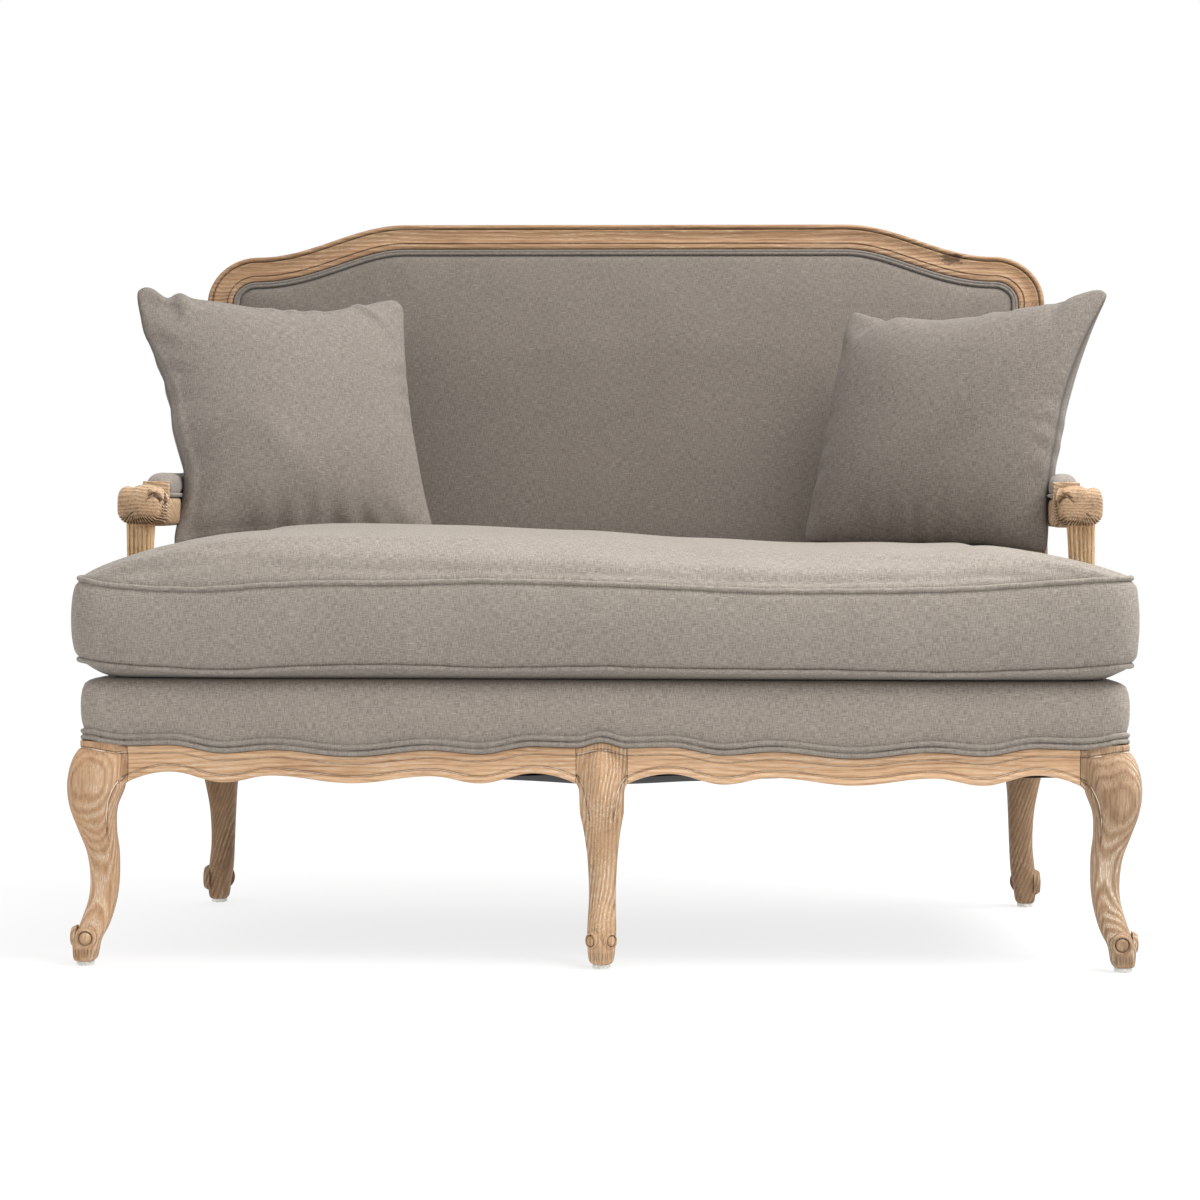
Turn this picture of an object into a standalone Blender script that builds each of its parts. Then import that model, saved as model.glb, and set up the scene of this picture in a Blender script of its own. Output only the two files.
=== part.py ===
"""Two-seat settee in the Louis XV manner: a limed oak show frame with serpentine rails,
five cabriole legs, open padded arms, a tight back, a loose T-shaped seat cushion and two
throw pillows. Metres, X across, Y to the rear, Z up from the floor; the origin lies on the
floor under the middle of the seat."""

import math

import bmesh
import bpy
from mathutils import Matrix, Vector

# Seat frame in plan
seat_half_front = 0.671
seat_taper = 0.041
seat_front = -0.370
seat_depth = 0.615
seat_corner_radius = 0.024
rail_thickness = 0.036
seat_half_rear = seat_half_front - seat_taper
seat_rear = seat_front + seat_depth

# Heights of the seat, each from the one below it
rail_top = 0.345
apron_below_top = 0.0614
apron_height = 0.0346
deck_height = 0.023
border_foot = 0.015
border_height = 0.105
cushion_crown = 0.074
apron_line = rail_top - apron_below_top
deck_top = rail_top + deck_height
seam_low = deck_top + border_foot
seam_high = seam_low + border_height

# Legs
foot_clearance = 0.006
foot_side = 0.030
foot_proud = 0.0090
knee_above_apron = 0.0049
knee_side = 0.0715
knee_proud = 0.0185
centre_head_half = 0.033
corner_head = 0.061
rear_foot_inset = 0.032
rear_foot_forward = 0.013
rear_post_side = 0.055
rear_post_margin = 0.0043
knee_height = apron_line + knee_above_apron
rear_foot_x = seat_half_rear - rear_foot_inset
rear_foot_y = seat_rear - rear_foot_forward

# Back, leaning to the rear about the top of the seat frame
back_lean = math.radians(12)
back_forward = 0.035
back_spread = 0.006
back_height = 0.691
crest_slope_run = 0.225
crest_drop = 0.0515
shoulder_run = 0.076
shoulder_rise = 0.072
frame_face = 0.0395
frame_depth = 0.034
rebate_width = 0.012
rebate_depth = 0.010
welt_width = 0.010
back_foot_y = seat_rear - back_forward
back_half = seat_half_rear + back_spread
crest_shoulder_x = back_half - shoulder_run
crest_flat_half = crest_shoulder_x - crest_slope_run

# Arms
arm_inset = 0.016
arm_above_rail = 0.238
arm_half = 0.020
arm_from_front = 0.148
arm_bow = 0.008
post_from_arm_front = 0.037
post_foot_inset = 0.0177
post_head_out = 0.017
arm_x = seat_half_rear - arm_inset
arm_z = rail_top + arm_above_rail
arm_front = seat_front + arm_from_front
post_y = arm_front + post_from_arm_front
post_head_x = arm_x + post_head_out

# Cushion and pillows
cushion_overhang = 0.0075
cushion_neck_inset = 0.0587
cushion_rear_inset = 0.052
cushion_proud = 0.016
cushion_ear_forward = 0.004
cushion_behind = 0.034
pillow_half = 0.191
pillow_thick = 0.072
cushion_half_front = seat_half_front + cushion_overhang
cushion_half_rear = seat_half_rear - cushion_rear_inset
cushion_front = seat_front - cushion_proud
cushion_ear = arm_front - cushion_ear_forward
cushion_rear = back_foot_y - cushion_behind

# Fits
clear = 0.0003
overrun = 0.100

# Fineness of curved forms
leg_sides = 12
front_steps = 3
side_steps = 2
tube_resolution = 1

PARTS = "settee"
CUTTERS = "settee_cutters"


def new_scene():
    """Empties the scene and makes one collection for the pieces and one for the cutters."""
    for obj in list(bpy.data.objects):
        bpy.data.objects.remove(obj, do_unlink=True)
    for name in (PARTS, CUTTERS):
        collection = bpy.data.collections.new(name)
        bpy.context.scene.collection.children.link(collection)


def material(name, colour, roughness):
    """A plain Principled material for one piece."""
    made = bpy.data.materials.new(name)
    made.use_nodes = True
    shader = made.node_tree.nodes["Principled BSDF"]
    shader.inputs["Base Color"].default_value = (*colour, 1.0)
    shader.inputs["Roughness"].default_value = roughness
    shader.inputs["Metallic"].default_value = 0.0
    return made


OAK = (0.47, 0.33, 0.21)
BEECH = (0.55, 0.42, 0.27)
LINEN = (0.30, 0.26, 0.22)
FOAM = (0.85, 0.80, 0.62)
JUTE = (0.42, 0.33, 0.20)
CAMBRIC = (0.012, 0.012, 0.012)
NYLON = (0.72, 0.72, 0.70)
STEEL = (0.45, 0.44, 0.42)
WOOD_ROUGHNESS = 0.62
CLOTH_ROUGHNESS = 0.92
HARD_ROUGHNESS = 0.40
SHARP = math.radians(38)


def add(name, mesh, colour, roughness, parent=None):
    """Links a mesh as a finished piece, shaded smooth but for its sharp edges."""
    mesh.name = name
    mesh.materials.clear()
    mesh.materials.append(material(name, colour, roughness))
    mesh.shade_smooth()
    mesh.set_sharp_from_angle(angle=SHARP)
    obj = bpy.data.objects.new(name, mesh)
    bpy.data.collections[PARTS].objects.link(obj)
    obj.parent = parent
    return obj


def add_tool(name, mesh, parent=None):
    """Links a mesh as a cutter or as a body to be joined: hidden, and shown as wire."""
    obj = bpy.data.objects.new(name, mesh)
    bpy.data.collections[CUTTERS].objects.link(obj)
    obj.hide_render = True
    obj.display_type = "WIRE"
    obj.parent = parent
    return obj


def combine(obj, tools, operation):
    """Cuts the tools from a piece, or joins them to it."""
    for tool in tools:
        modifier = obj.modifiers.new(tool.name, "BOOLEAN")
        modifier.operation = operation
        modifier.object = tool


def mirrored(mesh, side):
    """Turns a mesh made for the right-hand side into the one for the given side."""
    if side < 0:
        mesh.transform(Matrix.Scale(-1, 4, (1, 0, 0)))
        mesh.flip_normals()
    return mesh


def side_name(side):
    return "right" if side > 0 else "left"


def to_mesh(bm):
    """Closes a bmesh with its faces pointing out."""
    bmesh.ops.recalc_face_normals(bm, faces=bm.faces)
    mesh = bpy.data.meshes.new("shape")
    bm.to_mesh(mesh)
    bm.free()
    return mesh


def loft(rings, loop=False):
    """A solid through rings of equal count, with end caps unless the rings close a loop."""
    bm = bmesh.new()
    verts = [[bm.verts.new(point) for point in ring] for ring in rings]
    pairs = list(zip(verts, verts[1:]))
    if loop:
        pairs.append((verts[-1], verts[0]))
    for low, high in pairs:
        for i in range(len(low)):
            j = (i + 1) % len(low)
            bm.faces.new((low[i], low[j], high[j], high[i]))
    if not loop:
        bm.faces.new(verts[0])
        bm.faces.new(verts[-1])
    return to_mesh(bm)


def box(low, high):
    """A box between two corners, from a cube primitive."""
    bm = bmesh.new()
    bmesh.ops.create_cube(bm, size=1.0)
    low = Vector(low)
    high = Vector(high)
    bmesh.ops.scale(bm, vec=high - low, verts=bm.verts)
    bmesh.ops.translate(bm, vec=(low + high) / 2, verts=bm.verts)
    return to_mesh(bm)


def prism(outline, low, high):
    """A flat outline in plan, filled and given its height by a curve's extrude."""
    data = bpy.data.curves.new("outline", "CURVE")
    data.dimensions = "2D"
    data.fill_mode = "BOTH"
    data.extrude = (high - low) / 2
    spline = data.splines.new("POLY")
    spline.points.add(len(outline) - 1)
    for point, (x, y) in zip(spline.points, outline):
        point.co = (x, y, 0, 1)
    spline.use_cyclic_u = True
    return from_curve(data, Matrix.Translation((0, 0, (low + high) / 2)))


def tube(points, radius, resolution, cyclic):
    """A round tube along points, with its caps welded."""
    data = bpy.data.curves.new("tube", "CURVE")
    data.dimensions = "3D"
    data.bevel_depth = radius
    data.bevel_resolution = resolution
    data.use_fill_caps = not cyclic
    spline = data.splines.new("POLY")
    spline.points.add(len(points) - 1)
    for point, place in zip(spline.points, points):
        point.co = (*place, 1)
    spline.use_cyclic_u = cyclic
    return from_curve(data, Matrix.Identity(4))


def from_curve(data, matrix):
    """Meshes a curve, welds its caps and removes the curve."""
    guide = bpy.data.objects.new("guide", data)
    bpy.context.scene.collection.objects.link(guide)
    bpy.context.view_layer.update()
    evaluated = guide.evaluated_get(bpy.context.evaluated_depsgraph_get())
    mesh = bpy.data.meshes.new_from_object(evaluated)
    bpy.data.objects.remove(guide, do_unlink=True)
    mesh.transform(matrix)
    bm = bmesh.new()
    bm.from_mesh(mesh)
    weld = clear / 10
    bmesh.ops.remove_doubles(bm, verts=bm.verts, dist=weld)
    return to_mesh(bm)


def turned(profile, sides, matrix=Matrix.Identity(4)):
    """A solid of revolution about Z from (radius, height) pairs, closed flat at both ends."""
    rings = []
    for radius, height in profile:
        ring = []
        for i in range(sides):
            angle = 2 * math.pi * i / sides
            ring.append((radius * math.cos(angle), radius * math.sin(angle), height))
        rings.append(ring)
    mesh = loft(rings)
    mesh.transform(matrix)
    return mesh


def squircle(half_x, half_y, squareness, count, turn=0.0):
    """An oval between a circle (squareness 2) and a rectangle, turned about its centre."""
    points = []
    for i in range(count):
        angle = 2 * math.pi * i / count
        c = math.cos(angle)
        s = math.sin(angle)
        reach = (abs(c) ** squareness + abs(s) ** squareness) ** (-1 / squareness)
        x = half_x * reach * c
        y = half_y * reach * s
        points.append((x * math.cos(turn) - y * math.sin(turn), x * math.sin(turn) + y * math.cos(turn)))
    return points


def straight(share, table, column):
    """Reads a column of a table of shares by straight lines between its rows."""
    for low, high in zip(table, table[1:]):
        if share <= high[0]:
            part = (share - low[0]) / (high[0] - low[0])
            return low[column] + (high[column] - low[column]) * part
    return table[-1][column]


def eased(share, table, column):
    """Reads a column of a table of shares by waves that are level at its rows."""
    for low, high in zip(table, table[1:]):
        if share <= high[0]:
            part = (share - low[0]) / (high[0] - low[0])
            wave = (1 - math.cos(math.pi * part)) / 2
            return low[column] + (high[column] - low[column]) * wave
    return table[-1][column]


def rounded(corners, steps, spacing):
    """A plan outline from (x, y, radius) corners, with arcs and evenly split straight runs.
    Returns points and outward normals, going round counter-clockwise."""
    arcs = []
    count = len(corners)
    for i in range(count):
        x, y, radius = corners[i]
        here = Vector((x, y))
        back = (Vector(corners[i - 1][:2]) - here).normalized()
        ahead = (Vector(corners[(i + 1) % count][:2]) - here).normalized()
        half_angle = back.angle(ahead) / 2
        centre = here + (back + ahead).normalized() * (radius / math.sin(half_angle))
        reach = radius / math.tan(half_angle)
        start = here + back * reach - centre
        swing = start.angle_signed(here + ahead * reach - centre)
        arc = []
        for k in range(steps + 1):
            turn = Matrix.Rotation(-swing * k / steps, 2)
            arc.append(centre + turn @ start)
        arcs.append(arc)
    points = []
    for i, arc in enumerate(arcs):
        points.extend(arc)
        following = arcs[(i + 1) % count][0]
        run = following - arc[-1]
        pieces = max(1, round(run.length / spacing))
        for k in range(1, pieces):
            points.append(arc[-1] + run * (k / pieces))
    return points, outward(points)


def outward(points):
    """Mitred normals of a closed counter-clockwise outline."""
    normals = []
    count = len(points)
    for i in range(count):
        before = (points[i] - points[i - 1]).normalized()
        after = (points[(i + 1) % count] - points[i]).normalized()
        normal = Vector((before.y + after.y, -before.x - after.x)).normalized()
        normals.append(normal / max(0.5, normal.dot(Vector((after.y, -after.x)))))
    return normals


def side_x(y):
    """Outer face of the side rail at a given depth: the seat narrows to the rear."""
    part = (y - seat_front) / (seat_rear - seat_front)
    return seat_half_front + (seat_half_rear - seat_half_front) * part


post_foot_x = side_x(post_y) - post_foot_inset
cushion_half_neck = side_x(post_y) - cushion_neck_inset

# The serpentine edge of the seat frame, shared by rails, leg heads, deck cover and welt

scallop_drop = 0.014
spring_drop = 0.013
spring_share = 0.811
# Place along half a rail, drop of its upper line, drop of its lower line
scallop_shares = (
    (0.0, 1.0, 1.0),
    (0.357, 0.40, 0.32),
    (0.572, 0.72, 0.96),
    (spring_share, 0.0, 0.0),
    (1.0, 0.10, 0.0),
)
head_rise = 0.0068
ear_depth = 0.040
side_head_end = seat_front + corner_head
side_rail_end = rear_foot_y - rear_post_side / 2 - rear_post_margin
post_inner_face = rear_foot_x - rear_post_side / 2 - rear_post_margin
corner_head_start = seat_half_front - corner_head


def scallop(share):
    """Upper and lower line of a rail at a share of its half length."""
    share = abs(share)
    top = apron_line - scallop_drop * eased(share, scallop_shares, 1)
    bottom = apron_line - apron_height - scallop_drop * eased(share, scallop_shares, 2)
    spring = max(0.0, (share - spring_share) / (1 - spring_share))
    return bottom - spring_drop * spring * spring, top


def rail_shares(steps):
    """Places along a whole rail, with some steps in each wave of its scallops."""
    half = []
    for low, high in zip(scallop_shares, scallop_shares[1:]):
        for k in range(steps):
            half.append(low[0] + (high[0] - low[0]) * k / steps)
    half.append(1.0)
    return [-share for share in reversed(half[1:])] + half


def front_stations():
    """The right front rail: point and outward normal in plan, lower and upper line."""
    middle = (corner_head_start + centre_head_half) / 2
    half = (corner_head_start - centre_head_half) / 2
    stations = []
    for share in rail_shares(front_steps):
        stations.append((Vector((middle + half * share, seat_front)), Vector((0, -1)), *scallop(share)))
    return stations


def side_stations():
    """The right side rail, from the front leg to the rear post."""
    middle = (side_rail_end + side_head_end) / 2
    half = (side_rail_end - side_head_end) / 2
    slope = (seat_half_rear - seat_half_front) / (seat_rear - seat_front)
    normal = Vector((1, -slope)).normalized()
    stations = []
    for share in rail_shares(side_steps):
        y = middle + half * share
        facing = normal if abs(share) < 1 else Vector((1, 0))
        stations.append((Vector((side_x(y), y)), facing, *scallop(share)))
    return stations


# Place across an ear from the rail towards the leg, drop of its lower line
ear_shares = ((0.0, 0.0), (0.10, 0.20), (0.21, 0.60), (0.30, 1.0), (0.60, 1.0), (1.0, 1.0))


def head_lines(share):
    """Lower and upper line of a leg's head at a share from its rail to its middle."""
    bottom, top = scallop(1.0)
    top += head_rise * (1 - math.cos(math.pi * share)) / 2
    return bottom - ear_depth * straight(share, ear_shares, 1), top


def corner_stations():
    """The head of the right front leg, from the front rail round the corner to the side."""
    stations = []
    straight_run = corner_head - seat_corner_radius
    for share, _ in ear_shares[:-2]:
        x = corner_head_start + corner_head * share
        stations.append((Vector((x, seat_front)), Vector((0, -1)), *head_lines(share)))
    arc_start = straight_run / corner_head
    arc_end = seat_front + seat_corner_radius
    centre = Vector((side_x(arc_end) - seat_corner_radius, arc_end))
    arc_steps = 4
    for k in range(arc_steps + 1):
        angle = math.pi / 2 * k / arc_steps
        normal = Vector((math.sin(angle), -math.cos(angle)))
        share = arc_start + (1 - arc_start) * math.sin(math.pi * k / arc_steps)
        stations.append((centre + normal * seat_corner_radius, normal, *head_lines(share)))
    for share, _ in reversed(ear_shares[:-2]):
        y = side_head_end - corner_head * share
        stations.append((Vector((side_x(y), y)), Vector((1, 0)), *head_lines(share)))
    return stations


def centre_stations():
    """The head of the centre leg, from one front rail to the other."""
    stations = []
    for side in (-1, 1):
        rows = ear_shares if side < 0 else list(reversed(ear_shares))[1:]
        for share, _ in rows:
            x = side * centre_head_half * (1 - share)
            stations.append((Vector((x, seat_front)), Vector((0, -1)), *head_lines(share)))
    return stations


def ends_drawn_in(stations):
    """Sets both ends of a run of stations back by the fitting clearance."""
    drawn = list(stations)
    for end, inner in ((0, 1), (-1, -2)):
        point, normal, bottom, top = drawn[end]
        run = (drawn[inner][0] - point).normalized()
        drawn[end] = (point + run * clear, normal, bottom, top)
    return drawn


# Moulding of the seat rails: a fillet under the cloth, a shallow cove, a bead at the edge
rail_rebate = 0.006
fillet_height = 0.0090
quirk_depth = 0.0036
bead_height = 0.0090
# Outward place in quirk depths, height from the fillet down to the bead as a share
rail_face_shares = ((0.0, 0.0), (-1.0, 0.07), (-1.2, 1.0))
# Outward place in quirk depths, height up the bead as a share
rail_bead_shares = ((0.0, 0.66), (-0.1, 0.20), (-1.0, 0.0))


def rail_section(bottom, top, thickness):
    """Cross-section of a seat rail as (outward, height) pairs."""
    section = [(-thickness, bottom), (-thickness, rail_top), (-rail_rebate, rail_top), (-rail_rebate, top)]
    section.append((0, top))
    low = bottom + bead_height
    high = top - fillet_height
    for out, down in rail_face_shares:
        section.append((quirk_depth * out, high + (low - high) * down))
    for out, up in rail_bead_shares:
        section.append((quirk_depth * out, bottom + bead_height * up))
    return section


def sweep_rail(stations, thickness):
    """A moulded rail through stations in plan, each with its own lower and upper line."""
    rings = []
    for point, normal, bottom, top in stations:
        ring = []
        for out, height in rail_section(bottom, top, thickness):
            place = point + normal * out
            ring.append((place.x, place.y, height))
        rings.append(ring)
    return loft(rings)


def seat_rails():
    """Two serpentine front rails, two side rails and a plain rear rail."""
    for side in (-1, 1):
        name = side_name(side)
        front = sweep_rail(ends_drawn_in(front_stations()), rail_thickness)
        add("front_rail_" + name, mirrored(front, side), OAK, WOOD_ROUGHNESS)
        flank = sweep_rail(ends_drawn_in(side_stations()), rail_thickness)
        add("side_rail_" + name, mirrored(flank, side), OAK, WOOD_ROUGHNESS)
    reach = post_inner_face - 2 * clear
    rear_rail_height = 0.090
    low = (-reach, seat_rear - rail_thickness, rail_top - rear_rail_height)
    high = (reach, seat_rear, rail_top)
    add("rear_seat_rail", box(low, high), BEECH, WOOD_ROUGHNESS)


# Cabriole leg: height, how far it stands proud of the rails, width of its square, squareness
leg_shares = (
    (0.021, 0.42, 0.390, 4.0),
    (0.035, 0.52, 0.435, 4.0),
    (0.110, 0.52, 0.490, 3.6),
    (0.165, 0.22, 0.520, 3.0),
    (0.225, -0.08, 0.520, 2.6),
    (0.300, -0.38, 0.505, 2.5),
    (0.390, -0.44, 0.520, 2.5),
    (0.500, -0.22, 0.575, 2.6),
    (0.600, 0.30, 0.675, 2.8),
    (0.700, 0.80, 0.825, 3.0),
    (0.790, 1.00, 1.000, 3.2),
    (0.870, 0.88, 0.985, 3.2),
    (0.930, 0.58, 0.930, 3.4),
    (0.970, 0.20, 0.860, 3.4),
)
scroll_radius = 0.0120
scroll_height = 0.036
scroll_boss = 0.0050
# Radius and height of a scroll's turned face: rim, quirk and button
scroll_shares = ((1.0, -1.6), (0.98, 0.75), (0.73, 0.42), (0.56, 0.90), (0.26, 1.0))
scroll_sides = 10


def leg_curve(share, girth, side_limit):
    """Sway of a leg's middle from its foot, per face, and the width of its section."""
    side = min(knee_side * straight(share, leg_shares, 2) * girth, side_limit)
    middle = knee_proud * straight(share, leg_shares, 1) - side / 2
    foot_middle = foot_proud - foot_side / 2
    return middle - foot_middle, side


def leg_rings(foot, toe_angle, girth, sway, side_limit, top_share):
    """Square sections standing on edge towards the toe, from the foot up."""
    toe = Vector((math.cos(toe_angle), math.sin(toe_angle)))
    rings = []
    for share, _, _, squareness in leg_shares:
        if share > top_share:
            break
        shift, side = leg_curve(share, girth, side_limit)
        middle = foot + toe * (shift * math.sqrt(2) * sway)
        turn = toe_angle + math.pi / 4
        outline = squircle(side / 2, side / 2, squareness, leg_sides, turn)
        height = max(foot_clearance, knee_height * share)
        rings.append([(middle.x + x, middle.y + y, height) for x, y in outline])
    return rings


def scrolls(name, foot, toe_angle, girth, sway):
    """The two turned scrolls on the faces either side of the toe, as bodies to be joined."""
    share = scroll_height / knee_height
    shift, side = leg_curve(share, girth, knee_side)
    toe = Vector((math.cos(toe_angle), math.sin(toe_angle)))
    middle = foot + toe * (shift * math.sqrt(2) * sway)
    tools = []
    for hand in (-1, 1):
        face_angle = toe_angle + hand * math.pi / 4
        face = Vector((math.cos(face_angle), math.sin(face_angle)))
        centre = middle + face * (side / 2)
        matrix = Matrix.Translation((centre.x, centre.y, scroll_height))
        matrix = matrix @ Matrix.Rotation(face_angle, 4, "Z") @ Matrix.Rotation(math.pi / 2, 4, "Y")
        profile = [(scroll_radius * radius, scroll_boss * out) for radius, out in scroll_shares]
        tools.append(add_tool(f"{name}_scroll", turned(profile, scroll_sides, matrix)))
    return tools


def front_corner_legs():
    """Cabriole legs set on the diagonal, each with a moulded head that takes two rails."""
    ear_thickness = 0.012
    lap = 0.0005
    head_depth = ear_thickness - lap
    for side in (-1, 1):
        name = "front_leg_" + side_name(side)
        reach = foot_proud - foot_side / 2
        foot = Vector((seat_half_front + reach, seat_front - reach))
        toe_angle = -math.pi / 4
        rings = leg_rings(foot, toe_angle, 1.0, 1.0, knee_side, 1.0)
        leg = add(name, mirrored(loft(rings), side), OAK, WOOD_ROUGHNESS)
        head = sweep_rail(corner_stations(), ear_thickness)
        tools = [add_tool(name + "_head", mirrored(head, side))]
        low = (corner_head_start, seat_front + head_depth, scallop(1.0)[0] + bead_height)
        high = (seat_half_front - head_depth, side_head_end, rail_top)
        tools.append(add_tool(name + "_block", mirrored(box(low, high), side)))
        for tool in scrolls(name, foot, toe_angle, 1.0, 1.0):
            mirrored(tool.data, side)
            tools.append(tool)
        combine(leg, tools, "UNION")


centre_girth = 0.90
centre_knee_side = 0.0515


def front_centre_leg():
    """A slimmer cabriole leg between the two front rails."""
    name = "front_leg_centre"
    foot = Vector((0, seat_front - foot_proud + foot_side / 2))
    toe_angle = -math.pi / 2
    rings = leg_rings(foot, toe_angle, centre_girth, 1.0, centre_knee_side, 1.0)
    leg = add(name, loft(rings), OAK, WOOD_ROUGHNESS)
    head = add_tool(name + "_head", sweep_rail(centre_stations(), rail_thickness))
    combine(leg, [head] + scrolls(name, foot, toe_angle, centre_girth, 1.0), "UNION")


def foot_glides():
    """A nylon glide nailed under each foot."""
    radius = 0.0115
    height = foot_clearance - clear
    edge = 0.0015
    for name, x, y in glide_places():
        mesh = turned([(radius - edge, 0), (radius, edge), (radius, height)], leg_sides)
        mesh.transform(Matrix.Translation((x, y, 0)))
        add("foot_glide_" + name, mesh, NYLON, HARD_ROUGHNESS)


def glide_places():
    """Name and middle of each foot in plan."""
    reach = foot_proud - foot_side / 2
    front_x = seat_half_front + reach
    front_y = seat_front - reach
    places = [("front_centre", 0, front_y)]
    for side in (-1, 1):
        places.append(("front_" + side_name(side), side * front_x, front_y))
        places.append(("rear_" + side_name(side), side * rear_foot_x, rear_foot_y))
    return places


# Moulding of the crest rail and stiles: place across the face, depth in moulding depths
moulding_depth = 0.0036
frame_face_shares = (
    (0.0, 1.7),
    (0.04, 0.5),
    (0.11, 0.0),
    (0.17, 0.35),
    (0.21, 1.0),
    (0.255, 0.3),
    (0.54, 0.9),
    (0.82, 0.15),
    (0.93, 0.0),
    (1.0, 0.5),
)
rear_margin = 0.028
rear_rebate = 0.006
rear_chamfer = 0.004


def frame_section():
    """Cross-section of the back frame as (inward, depth) pairs, with a rebate each side."""
    inner = frame_face + rebate_width
    section = [(frame_face * across, moulding_depth * deep) for across, deep in frame_face_shares]
    section += [(frame_face, rebate_depth), (inner, rebate_depth), (inner, frame_depth - rear_rebate)]
    section += [(rear_margin, frame_depth - rear_rebate), (rear_margin, frame_depth)]
    section += [(rear_chamfer, frame_depth), (0, frame_depth - rear_chamfer)]
    return section


def sweep_frame(stations):
    """The frame's moulding along (point, inward normal) pairs in the plane of the back."""
    rings = []
    for point, inward in stations:
        ring = []
        for across, deep in frame_section():
            place = point + inward * across
            ring.append((place.x, deep, place.y))
        rings.append(ring)
    return loft(rings)


def crest_half(inset):
    """Right half of the back's outline, inset by a distance: middle, slope, shoulder."""
    flat_steps = 2
    slope_steps = 7
    shoulder_steps = 7
    points = []
    for k in range(flat_steps):
        points.append(Vector((crest_flat_half * k / flat_steps, back_height)))
    for k in range(slope_steps + 1):
        part = k / slope_steps
        x = crest_flat_half + (crest_shoulder_x - crest_flat_half) * part
        points.append(Vector((x, back_height - crest_drop * (1 - math.cos(math.pi * part)) / 2)))
    shoulder_run = back_half - crest_shoulder_x
    for k in range(1, shoulder_steps + 1):
        angle = math.pi / 2 * k / shoulder_steps
        x = crest_shoulder_x + shoulder_run * math.sin(angle)
        y = back_height - crest_drop - shoulder_rise * (1 - math.cos(angle))
        points.append(Vector((x, y)))
    return [point + normal * inset for point, normal in zip(points, crest_normals(points))]


def crest_normals(points):
    """Inward normals along the right half of the outline."""
    normals = [Vector((0, -1))]
    for before, after in zip(points, points[2:]):
        run = (after - before).normalized()
        normals.append(Vector((run.y, -run.x)))
    normals.append(Vector((-1, 0)))
    return normals


def whole_crest(inset):
    """The outline from the left shoulder over the middle to the right shoulder."""
    right = crest_half(inset)
    left = [Vector((-point.x, point.y)) for point in reversed(right[1:])]
    return left + right


def crest_rail(back):
    """One moulded rail from shoulder to shoulder."""
    outer = whole_crest(0)
    inner = whole_crest(frame_face)
    stations = [(a, (b - a) / frame_face) for a, b in zip(outer, inner)]
    add("crest_rail", sweep_frame(stations), OAK, WOOD_ROUGHNESS, back)


joint_height = back_height - crest_drop - shoulder_rise
stile_foot_half = seat_half_rear + 0.002
stile_root = -0.020


def rear_posts(back):
    """Rear leg and stile cut from one length: a small cabriole leg, then the moulded stile."""
    rear_sway = 0.35
    rear_girth = 0.95
    top_share = 0.87
    for side in (-1, 1):
        name = "rear_post_" + side_name(side)
        foot = Vector((rear_foot_x, rear_foot_y))
        toe_angle = math.pi / 4
        rings = leg_rings(foot, toe_angle, rear_girth, rear_sway, rear_post_side, top_share)
        top_ring = rings[-1]
        rings.append([(x, y, rail_top - clear) for x, y, _ in top_ring])
        post = add(name, mirrored(loft(rings), side), OAK, WOOD_ROUGHNESS)
        inward = Vector((-1, 0))
        stile_line = [(Vector((stile_foot_half, stile_root)), inward)]
        stile_line.append((Vector((back_half, joint_height - clear)), inward))
        stile = add_tool(name + "_stile", mirrored(sweep_frame(stile_line), side), back)
        tools = [stile]
        for tool in scrolls(name, foot, toe_angle, rear_girth, rear_sway):
            mirrored(tool.data, side)
            tools.append(tool)
        combine(post, tools, "UNION")


lower_rail_low = 0.052
lower_rail_height = 0.050


def inner_half(height, inset):
    """Half width of the back between its stiles at a height, less an inset."""
    part = (height - stile_root) / (joint_height - stile_root)
    return stile_foot_half + (back_half - stile_foot_half) * part - inset


def back_lower_rail(back):
    """A plain rail across the foot of the back, behind the seat cushion."""
    reach = inner_half(lower_rail_low, frame_face + rebate_width) - 2 * clear
    low = (-reach, rebate_depth, lower_rail_low)
    high = (reach, frame_depth - rear_rebate, lower_rail_low + lower_rail_height)
    add("back_lower_rail", box(low, high), BEECH, WOOD_ROUGHNESS, back)


def back_outline(inset, foot):
    """Closed outline of a panel in the back: the crest's line, the stiles and a level foot."""
    crest = whole_crest(inset)
    stile_steps = 4
    top = crest[-1].y
    low = foot + (inset - frame_face)
    sides = []
    for k in range(1, stile_steps + 1):
        height = top + (low - top) * k / stile_steps
        sides.append(Vector((inner_half(height, inset), height)))
    foot_steps = 6
    base = []
    reach = sides[-1].x
    for k in range(1, foot_steps):
        base.append(Vector((reach * (1 - 2 * k / foot_steps), low)))
    left = [Vector((-point.x, point.y)) for point in reversed(sides)]
    return crest + sides + base + left


back_foot = lower_rail_low + 0.004
panel_dome = 0.030
panel_edge = 0.0035
# Size of each ring of a stuffed panel and its rise from edge to middle
dome_shares = ((1.0, 0.0), (0.985, 0.16), (0.94, 0.34), (0.84, 0.58), (0.66, 0.82), (0.42, 0.95), (0.18, 1.0))


def stuffed(outline, centre, rear, front, rise):
    """A panel with a flat rear and a domed front, in the plane of the back."""
    rings = [[(p.x, rear, p.y) for p in outline]]
    for share, height in dome_shares:
        ring = []
        for p in outline:
            place = centre + (p - centre) * share
            ring.append((place.x, front - rise * height, place.y))
        rings.append(ring)
    return loft(rings)


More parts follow.
